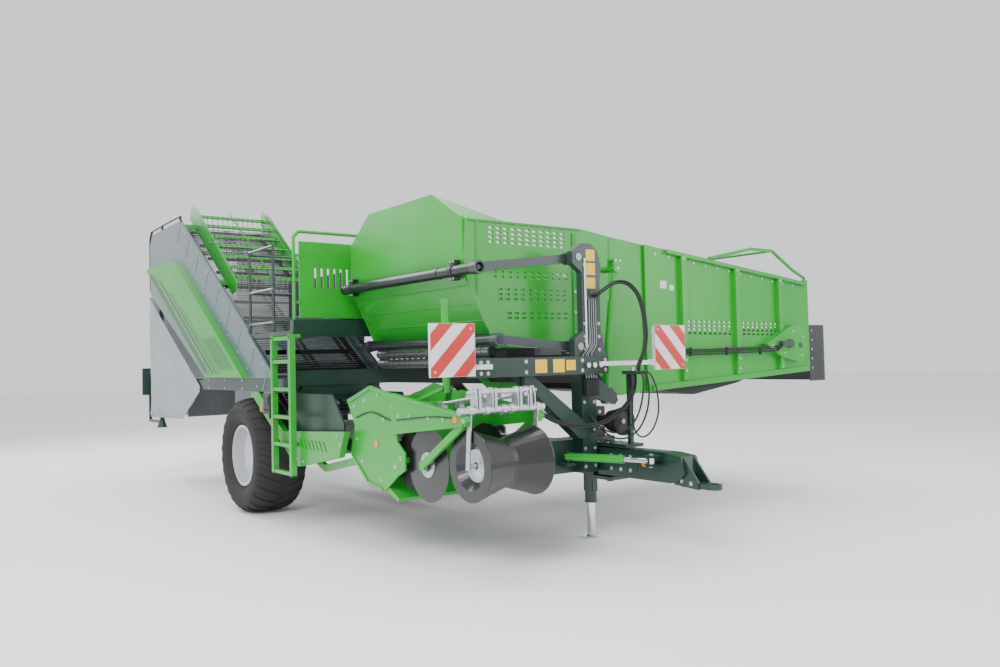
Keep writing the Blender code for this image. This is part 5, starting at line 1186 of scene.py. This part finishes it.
# drawbar, jack and drive shaft guard
bm = bmesh.new()
for y, out in ((0.4600, -1), (0.6600, 1)):
    addPlate(bm, "xz", [(4.10, 0.66), (4.40, 0.65), (4.48, 0.70), (4.48, 0.82), (4.40, 0.86), (4.10, 0.86)],
             *sorted((y, y + out * 0.006)))
addBeam(bm, (4.10, 0.56, 0.8815), (4.78, 0.56, 0.8815), 0.12, 0.006)
piece("drawbarPlates", bm, "drawbar", darkGreen, easing=0.0015)
barBolts = [((x, 0.454, z), (0, -1, 0)) for x in (4.16, 4.28, 4.40) for z in (0.70, 0.82)]
barBolts += [((x, 0.666, z), (0, 1, 0)) for x in (4.16, 4.28, 4.40) for z in (0.70, 0.82)]
barBolts += [((x, 0.4845, z), (0, -1, 0)) for x, z in ((4.96, 0.66), (5.06, 0.645), (4.97, 0.74))]
addBolts("drawbarBolts", "drawbar", barBolts, 0.011)
bm = bmesh.new()
addRod(bm, (4.74, 0.36, 0.8661), (4.74, 0.36, 0.878), 0.022, 20)
addRod(bm, (4.74, 0.36, 0.774), (4.74, 0.36, 0.762), 0.022, 20)
piece("steerPinHeads", bm, "drawbar", steel)
bm = bmesh.new()
addRod(bm, (3.76, 0.56, 0.018), (3.76, 0.56, 0.030), 0.060, 28, 0.048)
piece("jackFoot", bm, "jack", galv)
bm = bmesh.new()
addRod(bm, (3.76, 0.56, 0.336), (3.76, 0.56, 0.356), 0.060, 28)
addRod(bm, (3.76, 0.56, 0.600), (3.76, 0.56, 0.659), 0.068, 28)
for x in (3.70, 3.82):
    addBlock(bm, (x - 0.004, x + 0.004), (0.53, 0.59), (0.44, 0.6595))
piece("jackCollar", bm, "chassis", darkGreen)
bm = bmesh.new()
for k in range(5):
    addRod(bm, (4.100 + k * 0.026, 0.56, 1.12), (4.106 + k * 0.026, 0.56, 1.12), 0.0955 + 0.0085 * k, 32)
addRod(bm, (3.836, 0.56, 1.12), (3.850, 0.56, 1.12), 0.075, 28)
addRod(bm, (3.850, 0.56, 1.12), (3.858, 0.56, 1.12), 0.060, 28)
piece("driveGuardRings", bm, "chassis", blackPlastic)
bm = bmesh.new()
addRod(bm, (4.185, 0.56, 1.12), (4.225, 0.56, 1.12), 0.021, 18)
for k in range(12):
    a = 2 * math.pi * k / 12
    addBlock(bm, (4.187, 4.224), (0.56 + 0.0205 * math.cos(a) - 0.003, 0.56 + 0.0205 * math.cos(a) + 0.003),
             (1.12 + 0.0205 * math.sin(a) - 0.003, 1.12 + 0.0205 * math.sin(a) + 0.003))
piece("driveShaftSplines", bm, "chassis", steel)
gearBolts = [((3.8355, 0.56 + 0.10 * math.cos(a), 1.12 + 0.10 * math.sin(a)), (1, 0, 0))
             for a in [math.pi / 4 + math.pi / 2 * k for k in range(4)]]
gearBolts += [((3.76 + u, 0.56 + v, 0.9603), (0, 0, 1)) for u in (-0.05, 0.05) for v in (-0.20, 0.20)]
gearBolts += [((x, y, 0.9253), (0, 0, 1)) for x in (3.97, 4.10, 4.25) for y in (0.475, 0.645)]
addBolts("gearBolts", "chassis", gearBolts, 0.010)
bm = bmesh.new()  # hose couplers in the holder
for i, y in enumerate((0.60, 0.525, 0.635)):
    addRod(bm, (4.345 + 0.045 * (i % 2), y, 1.5803), (4.345 + 0.045 * (i % 2), y, 1.612), 0.014, 16)
piece("hoseCouplers", bm, "chassis", chromed)
print("front end ready")

# ladder treads and feet, rail trims
bm = bmesh.new()
shape = bmesh.new()
addRod(shape, (0, 0, 0), (0, 0, 0.0035), 0.006, 8, 0.0045)
step = (2.02 - 0.57 - 0.30) / 4
repeated(bm, shape, [((1.11 + 0.042 * i, -1.484 + 0.028 * j, 0.57 + step * k + 0.0345), (0, 0, 0))
                     for i in range(9) for j in range(2) for k in range(5)], green)
piece("rungStuds", bm, "ladder", green)
bm = bmesh.new()
for x in (1.045, 1.515):
    addRod(bm, (x, -1.502, 1.99), (x, -1.500, 1.99), 0.016, 16)
    addBlock(bm, (x - 0.026, x + 0.026), (-1.501, -1.439), (0.556, 0.5705))
piece("ladderFeet", bm, "ladder", blackRubber)
bm = bmesh.new()
for x in (0.05, 0.75):
    addRod(bm, (x, -1.345, 2.0503), (x, -1.345, 2.058), 0.034, 20)
    for z in (2.18, 2.55):
        addRod(bm, (x, -1.345, z - 0.012), (x, -1.345, z + 0.012), 0.0205, 14)
piece("railFeet", bm, "chassis", slate)
frameBolts = [((x, -1.4005, z), (0, -1, 0)) for x in (-1.30, -0.70, -0.10) for z in (1.435, 1.535)]
frameBolts += [((x, -1.4105, z), (0, -1, 0)) for x, z in ((0.24, 1.36), (0.36, 1.36), (2.40, 1.02), (2.46, 0.94),
                                                          (1.50, 0.74), (1.62, 0.72))]
frameBolts += [((-3.705, y, z), (1, 0, 0)) for y in (-1.32, 1.32) for z in (1.10, 1.80, 2.60)]
addBolts("frameBolts", "chassis", frameBolts, 0.010)
bm = bmesh.new()
for y, lean in ((-1.22, -1), (1.22, 1)):
    addStripes(bm, y, 1.4915, lean, -4.4408, -4.4401)
piece("rearStripes", bm, "chassis", redSheet)
print("trim ready")
